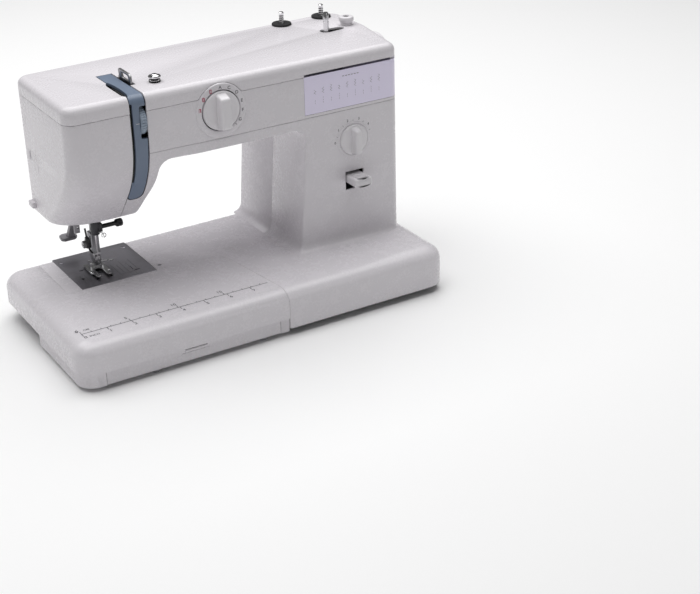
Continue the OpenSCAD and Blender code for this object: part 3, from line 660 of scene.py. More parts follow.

# near-black liner behind the strip: painted shade in the gaps beside it
shade_liner = copy_of(casing_form, "strip_shade_liner")
for point, normal in (((strip_cut_left - 3, 0, 0), (-1, 0, 0)), ((strip_cut_right + 3, 0, 0), (1, 0, 0)),
                      ((0, 0, strip_foot - 3), (0, 0, -1)), ((0, 44, 0), (0, 1, 0))):
    keep_behind(shade_liner, point, normal)
modify(shade_liner, "SOLIDIFY", thickness=1.2, offset=-1, use_even_offset=True)
shade_liner.data.transform(Matrix.Translation((0, 3.4, -3.4)))
keep_behind(shade_liner, (0, 8, 0), (0, 1, 0), fill=True)
carve(shade_liner, liner_window)
carve(shade_liner, prism("liner_bay", slot_outline, arm_top - 30, arm_top + 2))
settle(shade_liner, "frame", gap_shade_black)

# ---------------------------------------------------------------------------------------------
# Pattern dial and its bezel
# White ABS knob with a raised finger bar, turning in a ring moulded on the front cover.
# Stitch letters and buttonhole signs are pad printed round it.
# ---------------------------------------------------------------------------------------------
def lathe(name, profile, place, axis, steps=64):
    """Spins a closed (radius, height) outline round an axis; heights run along the axis."""
    mesh = bpy.data.meshes.new(name)
    points = [(radius, 0, height) for radius, height in profile]
    mesh.from_pydata(points, [(i, (i + 1) % len(points)) for i in range(len(points))], [])
    obj = bpy.data.objects.new(name, mesh)
    bpy.context.scene.collection.objects.link(obj)
    alone(obj)
    bpy.ops.object.mode_set(mode="EDIT")
    bpy.ops.mesh.select_all(action="SELECT")
    bpy.ops.mesh.spin(steps=steps, angle=math.tau, center=(0, 0, 0), axis=(0, 0, 1))
    bpy.ops.mesh.select_all(action="SELECT")
    bpy.ops.mesh.remove_doubles(threshold=0.001)
    bpy.ops.mesh.dissolve_degenerate(threshold=0.001)
    bpy.ops.mesh.select_all(action="SELECT")
    bpy.ops.mesh.normals_make_consistent(inside=False)
    done()
    obj.data.transform(Matrix.Translation(place) @ Vector(axis).to_track_quat("Z", "Y").to_matrix().to_4x4())
    return obj


def join(name, parts):
    bpy.ops.object.select_all(action="DESELECT")
    for part in parts:
        part.select_set(True)
    bpy.context.view_layer.objects.active = parts[0]
    bpy.ops.object.join()
    parts[0].name = name
    return parts[0]


def printed(text, size, place, across, up, lift=0.04):
    """Pad-printed characters, centred on a place, as a very thin mesh."""
    bpy.ops.object.select_all(action="DESELECT")
    bpy.ops.object.text_add(location=(0, 0, 0))
    letters = bpy.context.object
    letters.data.body = text
    letters.data.size = size
    letters.data.align_x = "CENTER"
    letters.data.align_y = "CENTER"
    letters.data.extrude = lift
    letters.data.offset = size * 0.02
    bpy.ops.object.convert(target="MESH")
    across, up = Vector(across).normalized(), Vector(up).normalized()
    out = across.cross(up)
    turn = Matrix((across, up, out)).transposed().to_4x4()
    letters.data.transform(Matrix.Translation(place) @ turn)
    return letters


def bar_of(name, start, end, width, out, lift=0.04):
    """A straight printed line between two points, lying on the surface whose normal is given."""
    start, end, out = Vector(start), Vector(end), Vector(out).normalized()
    side = (end - start).normalized().cross(out) * width / 2
    low = [start - side, end - side, end + side, start + side]
    high = [p + out * lift for p in low]
    low = [p - out * lift for p in low]
    return mesh_of(name, strip_faces(low, high, closed=True) + [list(reversed(low)), high])


print_grey = plastic("print_grey", (0.10, 0.10, 0.11), gloss=0.5, bump=0.005)
print_red = plastic("print_red", (0.42, 0.02, 0.08), gloss=0.5, bump=0.005)
soft_white = plastic("soft_white", (0.76, 0.74, 0.765), gloss=0.33)
seat_shadow = plastic("seat_shadow", (0.05, 0.05, 0.055), gloss=0.7)

dial_centre = Vector((dial_x, case_front, dial_z))
bezel_shape = [(20.6, -2.5), (20.6, 0.2), (21.1, 0.75), (21.6, 0.9), (25.6, 0.9), (26.6, 0.65),
               (27.1, 0.1), (27.2, -0.5), (27.2, -2.5)]
bezel = lathe("dial_bezel", bezel_shape, dial_centre, (0, -1, 0), 96)
settle(bezel, "frame", white_plastic, smooth=50)
seat_shape = [(0.5, -2.6), (0.5, -2.0), (22.5, -2.0), (22.5, -2.6)]
seat = lathe("dial_seat", seat_shape, dial_centre, (0, -1, 0), 64)
settle(seat, "frame", seat_shadow)


def knob(name, centre, radius, depth, bar_half):
    """A round knob with a finger bar; it replaces the CAD node and rides on the body of its name."""
    disc = lathe(name, [(0, -1.6), (0, 3.3), (radius * 0.55, 3.2), (radius * 0.8, 2.9), (radius - 1.3, 2.4),
                        (radius - 0.5, 1.9), (radius, 1.1), (radius, -1.6)], centre, (0, -1, 0), 96)
    grip = block("grip", (centre.x - bar_half, centre.y - depth, centre.z - radius - 0.2),
                 (centre.x + bar_half, centre.y + 0.5, centre.z + radius - 1.2))
    pick(grip, "FACE", lambda c, n: n.y < -0.9)
    bpy.ops.transform.resize(value=(0.86, 1, 0.8), center_override=centre)
    done()
    root = centre.y - 2
    round_edges(grip, 2.6, 6, lambda a, b: a.y < root and b.y < root or abs(a.y - b.y) > 3)
    carve(disc, grip, "UNION")
    pick(disc, "FACE", lambda c, n: True)
    bpy.ops.mesh.remove_doubles(threshold=0.01)
    done()
    modify(disc, "BEVEL", width=0.7, segments=3, limit_method="ANGLE", angle_limit=math.radians(35),
           use_clamp_overlap=True)
    settle(disc, name, soft_white, (name,), smooth=45)


knob("pattern_dial", dial_centre, 19.6, 14, 6.2)

def round_dial(centre, radius, angle, proud):
    """A place at a clock angle round a dial, standing proud of the front by a little."""
    turn = math.radians(angle)
    return centre + Vector((radius * math.sin(turn), -proud, radius * math.cos(turn)))


letters, signs = [], []
ring_radius, ring_face = 23.2, 0.93
for text, angle in zip("ACDEFG", (0, 24, 49, 75, 99, 123)):
    place = round_dial(dial_centre, ring_radius, angle, ring_face)
    letters.append(printed(text, 4.5, place, (1, 0, 0), (0, 0, 1)))
wide, tall = 0.85, 1.75
for i, angle in enumerate((-80, -52, -26)):
    place = round_dial(dial_centre, ring_radius, angle, ring_face)
    for side in (-1, 1):
        heavy = i == 1 or side == (1 if i == 0 else -1)
        signs.append(bar_of("sign", place + Vector((side * wide, 0, -tall)),
                            place + Vector((side * wide, 0, tall)), 0.95 if heavy else 0.45, (0, -1, 0)))
    for end in (-1, 1):
        if i != 0 or end == 1:
            signs.append(bar_of("sign", place + Vector((-wide, 0, end * tall)),
                                place + Vector((wide, 0, end * tall)), 0.7, (0, -1, 0)))
settle(join("dial_letters", letters), "frame", print_grey)
settle(join("dial_buttonhole_signs", signs), "frame", print_red)
tick_from = round_dial(dial_centre, 20.9, 138, ring_face)
tick_to = round_dial(dial_centre, 23.4, 138, ring_face)
settle(bar_of("dial_tick", tick_from, tick_to, 0.5, (0, -1, 0)), "frame", print_grey)

# ---------------------------------------------------------------------------------------------
# Stitch chart panel
# Lilac plastic panel let into the front cover and carried round its right corner.
# It is cut from the casing's form, and small stitch signs are printed on it in two rows.
# ---------------------------------------------------------------------------------------------
chart_lilac = plastic("chart_lilac", (0.84, 0.79, 0.97), gloss=0.2, grain=0.4)
chart_low, chart_high = where("stitch_chart_panel")
chart_top = chart_high.z + 0.3
chart = cover("stitch_chart_panel", [((chart_low.x, 0, 0), (-1, 0, 0)), ((0, -22, 0), (0, 1, 0)),
                                     ((0, 0, chart_low.z), (0, 0, -1)), ((0, 0, chart_top), (0, 0, 1))])
soften(chart, 0.25, 2, 50)
settle(chart, "frame", chart_lilac, ("stitch_chart_panel",))
bpy.data.objects.remove(casing_form)
chart_room = block("chart_room", (chart_low.x - 0.3, -60, chart_low.z - 0.3),
                   (210, -21.7, chart_high.z + 3))
chart_room.data.transform(Matrix.Scale(0.001, 4))
carve(front_upper, chart_room)
marks = []
for column in range(9):
    x = chart_low.x + 12 + column * 9.4
    zigzag_z, dash_z = chart_high.z - 22, chart_high.z - 32
    for k in range(3 + column % 3):
        lean = 1.1 if k % 2 else -1.1
        marks.append(bar_of("mark", (x - lean, case_front, zigzag_z + k * 1.5),
                            (x + lean, case_front, zigzag_z + k * 1.5 + 1.5), 0.22, (0, -1, 0)))
    for k in range(2 + column % 2):
        marks.append(bar_of("mark", (x, case_front, dash_z + k * 2.4),
                            (x, case_front, dash_z + k * 2.4 + 1.4), 0.25, (0, -1, 0)))
for column in range(6):
    x = chart_low.x + 44 + column * 3.4
    marks.append(bar_of("mark", (x, case_front, chart_high.z - 9), (x + 2.2, case_front, chart_high.z - 9),
                        0.6, (0, -1, 0)))
settle(join("stitch_chart_signs", marks), "frame", print_grey)

# ---------------------------------------------------------------------------------------------
# Stitch length dial and reverse lever
# A smaller knob with a numbered scale, and a white lever that is pressed down to sew backwards.
# ---------------------------------------------------------------------------------------------
length_x, _, length_z = middle_of("length_dial")
length_centre = Vector((length_x, case_front, length_z))
knob("length_dial", length_centre, 16, 12, 4.4)
ring_shape = [(16.8, -1.0), (16.8, 0.3), (17.2, 0.6), (18.6, 0.6), (19, 0.3), (19, -1.0)]
length_ring = lathe("length_dial_ring", ring_shape, length_centre, (0, -1, 0), 80)
settle(length_ring, "frame", white_plastic, smooth=50)
numbers = []
for i in range(5):
    angle = -90 + i * 36
    tick_angle = angle + math.degrees(0.3)
    place = round_dial(length_centre, 22, angle, 0.02)
    numbers.append(printed(str(i), 3.6, place, (1, 0, 0), (0, 0, 1)))
    inner = round_dial(length_centre, 19.6, tick_angle, 0.02)
    outer = round_dial(length_centre, 21.2, tick_angle, 0.02)
    numbers.append(bar_of("tick", inner, outer, 0.4, (0, -1, 0)))
settle(join("length_scale", numbers), "frame", print_grey)

lever = block("reverse_lever", (reverse_low.x + 0.3, -55.5, reverse_low.z + 0.6),
              (reverse_high.x - 0.3, -24, reverse_high.z - 0.6))
pick(lever, "FACE", lambda c, n: n.y < -0.9)
bpy.ops.mesh.extrude_region_move(TRANSFORM_OT_translate={"value": (0, -0.4, 0)})
bpy.ops.transform.resize(value=(0.9, 1, 1.0))
done()
round_edges(lever, 1.6, 4, lambda a, b: abs(a.x - b.x) < 0.1 or (a.y < -50 and b.y < -50))
for k in range(4):
    carve(lever, rod("lever_groove", (reverse_low.x + 4, -53 + k * 2.6, reverse_high.z - 0.1),
                     (reverse_high.x - 4, -53 + k * 2.6, reverse_high.z - 0.1), 0.8, 16))
settle(lever, "reverse_lever", soft_white, ("reverse_lever",))

# ---------------------------------------------------------------------------------------------
# Thread tension wheel
# Grey-blue wheel standing in the strip's window; its rim is ribbed for the finger.
# ---------------------------------------------------------------------------------------------
wheel_grey = plastic("wheel_grey", (0.30, 0.36, 0.44), gloss=0.35, grain=1.2)


def fluted(obj, centre, axis, count, depth, low_radius):
    """Presses ribs into the rim of a turned piece."""
    axis = Vector(axis).normalized()
    across = axis.orthogonal().normalized()
    other = axis.cross(across)
    for vertex in obj.data.vertices:
        out = vertex.co - Vector(centre)
        flat = out - axis * out.dot(axis)
        if flat.length > low_radius:
            angle = math.atan2(flat.dot(other), flat.dot(across))
            vertex.co -= flat.normalized() * depth * (0.5 - 0.5 * math.cos(angle * count))


tension_centre = (tension_low + tension_high) / 2
wheel_near, wheel_far = tension_low.x, tension_high.x
wheel_shape = [(3, wheel_near), (3, wheel_far), (11, wheel_far), (13.6, wheel_far),
               (14.4, wheel_far - 0.4), (14.9, wheel_far - 1), (14.9, wheel_near + 1),
               (14.4, wheel_near + 0.4), (13.6, wheel_near), (11, wheel_near)]
wheel = lathe("tension_dial", wheel_shape, (0, tension_centre.y, tension_centre.z), (1, 0, 0), 180)
fluted(wheel, (0, tension_centre.y, tension_centre.z), (1, 0, 0), 36, 0.8, 14)
settle(wheel, "tension_dial", wheel_grey, ("tension_dial",), smooth=40)
tick_y = front_at(-108, tension_centre.z) - 0.02
settle(bar_of("tension_mark", (-108.6, tick_y, tension_centre.z - 0.5),
              (-105, tick_y, tension_centre.z - 0.5), 0.5, (0, -1, 0)),
       "frame", soft_white)

# ---------------------------------------------------------------------------------------------
# Bed: the machine's bed with its free arm, and the extension table that slides round it
# White ABS shells with a broad rolled edge; both are cut from one outer form, so they meet flush.
# ---------------------------------------------------------------------------------------------
bed_corners = [(-216, -110), (195, -110), (195, 108), (-216, 101)]
bed_wall = 2.5
arm_front_y = 8
seam_foot, seam_head = (7.36, -120), (-10, arm_front_y)
arm_end, arm_corner = -178, 9
arm_floor = 16
table_seam_z, tray_inset, tray_z = 19, 2.4, 4


def bed_form(name, z0, inner=0.0):
    """The whole bed's outside, or the same moved inwards: upright sides and a rolled top edge."""
    rings = []
    for inset, z in [(0, z0), (0, 35)] + [(17 * (1 - math.cos(math.radians(t))),
                                           35 + 14 * math.sin(math.radians(t)))
                                          for t in (10, 20, 30, 40, 50, 60, 70, 80, 90)]:
        plan = rounded(bed_corners, [20] * 4, min(inset + inner, 19.6))
        rings.append([(*p, z - inner * smooth_step((z - 35) / 14)) for part in plan for p in part])
    faces = [list(reversed(rings[0])), rings[-1]]
    for low, high in zip(rings, rings[1:]):
        faces += strip_faces(low, high, closed=True)
    return mesh_of(name, faces)


def seam_turn(grow):
    """The rounded corner where the seam turns along the free arm."""
    return rounded([(-240, -120), seam_foot, seam_head, (-240, arm_front_y)], [0, 0, 12, 0], -grow)[2]


def machine_side(grow):
    corner = (arm_end + arm_corner, arm_front_y + 0.4 + arm_corner)
    outline = [(seam_foot[0] + 0.4 + grow, -120), (230, -120), (230, 130), (arm_end + grow, 130)]
    outline += arc(corner, arm_corner - grow, arm_corner - grow, 180, 270, 8)
    return outline + list(reversed(seam_turn(0.4 + grow)))


def table_side(grow):
    corner = (arm_end + arm_corner, arm_front_y + 0.4 + arm_corner)
    outline = [(-240, -120), (seam_foot[0] - grow, -120)] + seam_turn(-grow)
    outline += arc(corner, arm_corner + 0.4 + grow, arm_corner + 0.4 + grow, 270, 180, 8)
    return outline + [(arm_end - 0.4 - grow, 130), (-240, 130)]


bed = bed_form("bed_cover", 7.5)
carve(bed, prism("machine_side", machine_side(0), 0, 60), "INTERSECT")
carve(bed, block("under_arm", (-190, arm_front_y - 2, 0), (-10.4, 120, arm_floor)))
room = bed_form("bed_room", -2, bed_wall)
carve(room, prism("machine_room", machine_side(bed_wall), -4, 60), "INTERSECT")
carve(room, block("arm_floor", (-190, -2, -5), (-8, 125, arm_floor + bed_wall)))
carve(bed, room)
plate_low, plate_high = where("needle_plate")
door_low, door_high = where("shuttle_door")
soften(bed, 0.5, 3, 50)
carve(bed, block("plate_recess", (plate_low.x - 0.25, plate_low.y - 0.25, bed_top - 3.2),
                 (plate_high.x + 0.25, plate_high.y + 0.25, 60)))
carve(bed, block("door_room", (door_low.x, -5, 18.2), (door_high.x, 12, 46.4)))
carve(bed, block("column_room", (70, -26, 40), (184, 94, 60)))
carve(bed, rod("plate_hole", (-74, 19.5, 40), (-74, 19.5, 60), 2.2, 24))
for node, half_width in (("power_inlet", 14), ("power_switch", 10.4)):
    low, high = where(node)
    middle = (low + high) / 2
    carve(bed, block("socket_room", (185, middle.y - half_width, 13), (200, middle.y + half_width, 32)))
settle(bed, "frame", white_plastic, ("bed_cover", "free_arm_cover"), smooth=40)

table = bed_form("extension_table", table_seam_z)
carve(table, prism("table_side", table_side(0), 0, 60), "INTERSECT")


def tray_form(name, inset, foot):
    outline = [p for part in rounded(bed_corners, [20] * 4, inset) for p in part]
    return prism(name, outline, foot, table_seam_z + 1)


tray = tray_form("tray", tray_inset, tray_z)
carve(tray, prism("tray_side", table_side(0), 0, 60), "INTERSECT")
carve(tray, block("tray_back", (-240, arm_front_y - 2.4, 0), (40, 130, 60)))
carve(table, tray, "UNION")
hollow = bed_form("hollow", table_seam_z, bed_wall)
carve(hollow, prism("hollow_side", table_side(bed_wall), 0, 60), "INTERSECT")
tray_room = tray_form("tray_room", tray_inset + bed_wall, tray_z + bed_wall)
carve(tray_room, prism("tray_room_side", table_side(tray_inset + bed_wall), 0, 60), "INTERSECT")
carve(tray_room, block("tray_room_back", (-240, 0.6, 0), (40, 130, 60)))
carve(hollow, tray_room, "UNION")
carve(hollow, block("tray_wall", (-240, -26, 0), (40, -23.5, 60)))
carve(hollow, block("rib", (-240, arm_front_y - 2.5, 0), (-170, arm_front_y, 60)))
carve(table, hollow)
carve(table, block("under_wing", (-240, arm_front_y, 0), (arm_end - 2.9, 97, table_seam_z + 0.3)))
carve(table, block("door_window", (door_low.x - 2, -3, 17), (door_high.x + 2, arm_front_y + 2, bed_top - 2)))
lid_front = where("storage_lid")[0].y
lid_x = (-190, -4)
carve(table, block("tray_mouth", (lid_x[0] - 0.4, -115, 2.6), (lid_x[1] + 0.4, -104, 19.0)))
carve(table, block("arm_passage", (-184, 12, 18), (-177, 96, 45)))
soften(table, 0.5, 3, 50)
carve(table, block("side_joint", (-230, -100.3, 0), (-213, -99.8, table_seam_z)))
settle(table, "extension_table", white_plastic, ("extension_table",), smooth=40)

# ---------------------------------------------------------------------------------------------
# Ruler on the table
# Pad-printed scale along the table's front edge, in centimetres behind the line and inches before it.
# Every fifth centimetre and every inch has a longer tick and its number.
# ---------------------------------------------------------------------------------------------
ruler_x, ruler_y, ruler_end = -200, -80, -2
centimetre, inch = 10, 25.4
ruler = [bar_of("line", (ruler_x, ruler_y, bed_top), (ruler_end, ruler_y, bed_top), 0.95, (0, 0, 1))]
for i in range(20):
    tall = 5 if i % 5 == 0 else 2.2
    x = ruler_x + centimetre * i
    ruler.append(bar_of("tick", (x, ruler_y, bed_top), (x, ruler_y + tall, bed_top), 0.8, (0, 0, 1)))
    if i % 5 == 0:
        ruler.append(printed(str(i), 6.0, (x - 2, ruler_y + 7.6, bed_top), (1, 0, 0), (0, 1, 0)))
for i in range(8):
    x = ruler_x + inch * i
    ruler.append(bar_of("tick", (x, ruler_y, bed_top), (x, ruler_y - 5, bed_top), 0.8, (0, 0, 1)))
    ruler.append(printed(str(i), 6.0, (x + 1, ruler_y - 8, bed_top), (1, 0, 0), (0, 1, 0)))
ruler.append(printed("CM", 4.2, (ruler_x + 7, ruler_y + 6.4, bed_top), (1, 0, 0), (0, 1, 0)))
ruler.append(printed("INCH", 4.2, (ruler_x + 10, ruler_y - 8, bed_top), (1, 0, 0), (0, 1, 0)))
settle(join("ruler", ruler), "extension_table", print_grey)

# ---------------------------------------------------------------------------------------------
# Storage lid and shuttle door
# White ABS flaps: the lid closes the table's accessory tray, the door closes the free arm's end
# before the hook. Each snaps in on two moulded pins along its foot and tips forwards.
# ---------------------------------------------------------------------------------------------
lid = block("storage_lid", (lid_x[0], lid_front + 1.8, tray_z + 0.6), (lid_x[1], lid_front + 4.2, 18.6))
ridge = block("ridge", (-109, lid_front, 14.6), (-85, lid_front + 2.4, 17.6))
round_edges(ridge, 1.1, 4, lambda a, b: a.y < lid_front + 1 and b.y < lid_front + 1)
carve(lid, ridge, "UNION")
carve(lid, block("groove", (-112, lid_front + 1, 13.4), (-82, lid_front + 2.4, 14.2)))
for x in (lid_x[0] - 1.8, lid_x[1] - 6):
    carve(lid, rod("hinge_pin", (x, -106.4, 6), (x + 7.8, -106.4, 6), 1, 16), "UNION")
soften(lid, 0.3, 2, 50)
settle(lid, "storage_lid", white_plastic, ("storage_lid",))

door = block("shuttle_door", (door_low.x + 2, 8.4, 19.7), (door_high.x - 2, 10.8, 46))
carve(door, rod("thumb_room", (-136, 6.6, 41), (-136, 8.9, 41), 6, 48))
for x in (door_low.x, door_high.x - 6):
    carve(door, rod("hinge_pin", (x, 9.8, 19.7), (x + 6, 9.8, 19.7), 1, 16), "UNION")
soften(door, 0.35, 2, 50)
settle(door, "shuttle_door", white_plastic, ("shuttle_door",))

# ---------------------------------------------------------------------------------------------
# Needle plate
# Ground steel plate let into the free arm; seam guide lines and slots are cut across it.
# ---------------------------------------------------------------------------------------------
def worked_metal():
    """Worked metal: fine scratches along one way, slow tone drift and dull patches."""
    group, given, made = new_group(
        "worked_metal",
        {"Colour": (0.5, 0.5, 0.5, 1), "Gloss": 0.3, "Scratch": 0.5, "Stretch": 12.0},
        {"Colour": "NodeSocketColor", "Roughness": "NodeSocketFloat", "Height": "NodeSocketFloat"})
    place = group.nodes.new("ShaderNodeTexCoord").outputs["Object"]
    comb = group.nodes.new("ShaderNodeCombineXYZ")
    comb.inputs["Y"].default_value = 1
    comb.inputs["Z"].default_value = 1
    group.links.new(given.outputs["Stretch"], comb.inputs["X"])
    drawn = group.nodes.new("ShaderNodeVectorMath")
    drawn.operation = "MULTIPLY"
    group.links.new(place, drawn.inputs[0])
    group.links.new(comb.outputs["Vector"], drawn.inputs[1])
    lines = noise_of(group, drawn.outputs["Vector"], 900, 3, 0.7)
    patches = noise_of(group, place, 60, 4)
    dark = mix_of(group, 1.0, given.outputs["Colour"], (0.72, 0.70, 0.68, 1), "MULTIPLY")
    share = range_of(group, patches, 0.42, 0.75, 0.0, 0.7)
    tone = mix_of(group, share, given.outputs["Colour"], dark)
    streak = range_of(group, lines, 0.35, 0.7, 0.88, 1.12)
    value = group.nodes.new("ShaderNodeHueSaturation")
    group.links.new(tone, value.inputs["Color"])
    group.links.new(streak, value.inputs["Value"])
    group.links.new(value.outputs["Color"], made.inputs["Colour"])
    rough = math_node(group, "ADD", given.outputs["Gloss"],
                      math_node(group, "MULTIPLY", range_of(group, lines, 0.3, 0.7, -0.08, 0.12),
                                given.outputs["Scratch"]))
    group.links.new(math_node(group, "ADD", rough, range_of(group, patches, 0.4, 0.7, 0.0, 0.06)),
                    made.inputs["Roughness"])
    group.links.new(math_node(group, "MULTIPLY", lines, given.outputs["Scratch"]), made.inputs["Height"])
    return group


metal_group = worked_metal()


def metal(name, colour, gloss=0.25, scratch=0.5, stretch=12.0, metallic=1.0):
    values = {"Colour": (*colour, 1), "Gloss": gloss, "Scratch": scratch, "Stretch": stretch}
    return finished(name, metal_group, values, 0.3, 0.00002, metallic)


plate_steel = metal("plate_steel", (0.30, 0.29, 0.32), gloss=0.34, scratch=0.5, metallic=0.75)
chrome = metal("chrome", (0.74, 0.74, 0.75), gloss=0.12, scratch=0.3)
steel = metal("steel", (0.42, 0.42, 0.43), gloss=0.28)
dark_steel = metal("dark_steel", (0.20, 0.20, 0.21), gloss=0.35, metallic=0.8)
bronze = metal("bronze", (0.44, 0.27, 0.13), gloss=0.4)
cast_metal = metal("cast_metal", (0.36, 0.37, 0.38), gloss=0.55, scratch=0.9, stretch=1.0, metallic=0.6)
black_plastic = plastic("black_plastic", (0.014, 0.014, 0.015), gloss=0.28)
needle_x, needle_y, _ = middle_of("needle")

plate = block("needle_plate", (plate_low.x, plate_low.y, plate_low.z), (plate_high.x, plate_high.y, bed_top))
round_edges(plate, 1.6, 5, lambda a, b: abs(a.z - b.z) > 1)
soften(plate, 0.35, 3, 40)
cuts = [block("needle_slot", (needle_x - 4, needle_y - 1.2, 40), (needle_x + 4, needle_y + 1.2, 60))]
for x, front in ((0, 40), (-7.5, 22), (7.5, 22)):
    cuts.append(block("dog_slot", (needle_x + x - 1.5, front, 40), (needle_x + x + 1.5, 60, 60)))
line_floor, line_width, line_pitch = bed_top - 0.25, 0.45, 5
for i in range(5):
    x = needle_x + 16 + i * line_pitch
    cuts.append(block("guide_line", (x, 12, line_floor), (x + line_width, 44 if i % 2 else 52, 60)))
for i in range(2):
    x = needle_x - 16 - i * line_pitch
    cuts.append(block("guide_line", (x, 14, line_floor), (x + line_width, 40, 60)))
cuts.append(block("cross_line", (needle_x + 16, 21, line_floor), (needle_x + 36.5, 21 + line_width, 60)))
cuts.append(block("cross_line", (plate_low.x + 3, 11.2, line_floor), (plate_high.x - 3, 11.6, 60)))
screw_places = [(plate_low.x + 6, plate_high.y - 12), (plate_high.x - 6, plate_high.y - 12)]
for x, y in screw_places:
    cuts.append(rod("screw_hole", (x, y, 40), (x, y, 60), 1.7, 24))
cuts.append(rod("pin_hole", (-152.3, 32.3, 40), (-152.3, 32.3, 60), 1.5, 24))
for x, y, sx, sy in ((-146, 52, 2.6, 0.9), (-97, 22, 2.8, 2.0), (-101, 30, 0.7, 3.6)):
    cuts.append(block("plate_mark", (x - sx, y - sy, bed_top - 0.8), (x + sx, y + sy, 60)))
for tool in cuts:
    carve(plate, tool)
settle(plate, "frame", plate_steel, ("needle_plate",))

# ---------------------------------------------------------------------------------------------
# Needle bar, needle clamp and needle
# Chromed bar; a dark clamp block holds the needle with a side screw and a black finger knob.
# ---------------------------------------------------------------------------------------------
needle_bar = rod("needle_bar", (needle_x, needle_y, 96), (needle_x, needle_y, 230), 3, 48)
soften(needle_bar, 0.4, 2, 50)
settle(needle_bar, "needle_bar", chrome, ("needle_bar",), smooth=40)
clamp_black = metal("clamp_black", (0.06, 0.06, 0.065), gloss=0.3, metallic=0.6)
clamp = rod("needle_clamp", (needle_x, needle_y, 92), (needle_x, needle_y, 106), 4.5, 48)
carve(clamp, block("clamp_ear", (needle_x, needle_y - 3, 94), (needle_x + 7, needle_y + 3, 103)), "UNION")
carve(clamp, block("clamp_split", (needle_x - 6, needle_y - 0.35, 91), (needle_x - 2, needle_y + 0.35, 100)))
carve(clamp, rod("bar_room", (needle_x, needle_y, 96), (needle_x, needle_y, 107), 3.02, 32))
soften(clamp, 0.4, 2, 40)
settle(clamp, "needle_bar", clamp_black, ("needle_clamp",), smooth=40)


def wire(name, points, radius, sides=10):
    """A round wire through points, as one mesh."""
    curve = bpy.data.curves.new(name, "CURVE")
    curve.dimensions = "3D"
    curve.bevel_depth = radius
    curve.bevel_resolution = sides // 4
    curve.use_fill_caps = True
    spline = curve.splines.new("POLY")
    spline.points.add(len(points) - 1)
    for point, place in zip(spline.points, points):
        point.co = (*place, 1)
    obj = bpy.data.objects.new(name, curve)
    bpy.context.scene.collection.objects.link(obj)
    alone(obj)
    bpy.ops.object.convert(target="MESH")
    return obj


def bent(points, steps=8):
    """Smooth points through a few given ones."""
    places = [Vector(p) for p in points]
    places = [places[0] * 2 - places[1]] + places + [places[-1] * 2 - places[-2]]
    run = []
    for a, b, c, d in zip(places, places[1:], places[2:], places[3:]):
        for i in range(steps):
            t = i / steps
            squared, cubed = 2 * a - 5 * b + 4 * c - d, 3 * b - a - 3 * c + d
            run.append(0.5 * (2 * b + (c - a) * t + squared * t ** 2 + cubed * t ** 3))
    return run + [places[-2]]


loop_radius = 2.3
loop = []
for angle in range(0, 340, 20):
    turn = math.radians(angle)
    loop.append((needle_x + 7 + loop_radius * math.sin(turn), needle_y - 4.6,
                 90.6 - loop_radius * math.cos(turn)))
thread_ring = wire("needle_thread_guide", [(needle_x + 2, needle_y - 3.6, 94.6),
                                           (needle_x + 6.4, needle_y - 4.6, 93.2)] + loop, 0.45)
settle(thread_ring, "needle_bar", chrome, smooth=60)
needle_shape = [(0, 60), (0.16, 60.4), (0.5, 66), (0.55, 80), (0.95, 83), (1.0, 96), (0, 96)]
needle = lathe("needle", needle_shape, (needle_x, needle_y, 0), (0, 0, 1), 20)
carve(needle, rod("needle_eye", (needle_x, needle_y - 2, 64.8), (needle_x, needle_y + 2, 64.8), 0.22, 12))
settle(needle, "needle_bar", chrome, ("needle",), smooth=60)
clamp_low, clamp_high = where("clamp_screw")
screw_z = middle_of("clamp_screw")[2]
knob_shape = [(0, 0), (1.5, 0), (1.5, 4.6), (2.3, 5), (2.3, 18.4), (3.2, 19.2), (3.9, 20), (4, 21),
              (4, 25.6), (3.5, 26.4), (0, 26.6)]
knob_reach = clamp_high.x - clamp_low.x
clamp_screw = lathe("clamp_screw", [(r, h * knob_reach / 26.6) for r, h in knob_shape],
                    (clamp_low.x, needle_y, screw_z), (1, 0, 0), 72)
fluted(clamp_screw, (0, needle_y, screw_z), (1, 0, 0), 18, 0.35, 3.4)
settle(clamp_screw, "clamp_screw", black_plastic, ("clamp_screw",), smooth=40)

# ---------------------------------------------------------------------------------------------
# Presser bar, shank, foot screw and snap-in foot
# Steel bar with a grey cast shank held by a knurled screw; a black lever and rod lie on its left.
# The foot is pressed and chromed, and rocks on a cross pin under the shank.
# ---------------------------------------------------------------------------------------------
foot_tip = where("presser_foot")[0].y
presser_x, presser_y = middle_of("foot_holder")[0], 49
presser_bar = rod("presser_bar", (presser_x, presser_y, 82), (presser_x, presser_y, 208), 3, 48)
settle(presser_bar, "presser_bar", steel, ("presser_bar",), smooth=40)
shank = block("foot_holder", (presser_x - 4.5, presser_y - 5, 66), (presser_x + 4.5, presser_y + 5, 90))
pick(shank, "FACE", lambda c, n: n.z < -0.9)
bpy.ops.mesh.extrude_region_move(TRANSFORM_OT_translate={"value": (0, -1.5, -5.2)})
bpy.ops.transform.resize(value=(0.86, 0.8, 1))
bpy.ops.mesh.extrude_region_move(TRANSFORM_OT_translate={"value": (0, -1.6, -6.2)})
bpy.ops.transform.resize(value=(0.75, 0.6, 1))
done()
round_edges(shank, 1.1, 4, lambda a, b: abs(a.z - b.z) > 1)
carve(shank, block("shank_slot", (presser_x - 6, presser_y - 1.1, 71),
                   (presser_x - 1.6, presser_y + 1.1, 84)))
carve(shank, block("shank_step", (presser_x - 2.8, presser_y - 8, 70),
                   (presser_x + 2.8, presser_y - 4.4, 86)))
soften(shank, 0.35, 2, 45)
shank_grey = metal("shank_grey", (0.42, 0.42, 0.44), gloss=0.3, scratch=0.4, metallic=0.85)
settle(shank, "presser_bar", shank_grey, ("foot_holder",), smooth=40)
ankle = block("foot_ankle", (presser_x - 3.6, presser_y - 6.6, 58.6),
              (presser_x + 3.6, presser_y - 4.8, 68.5))
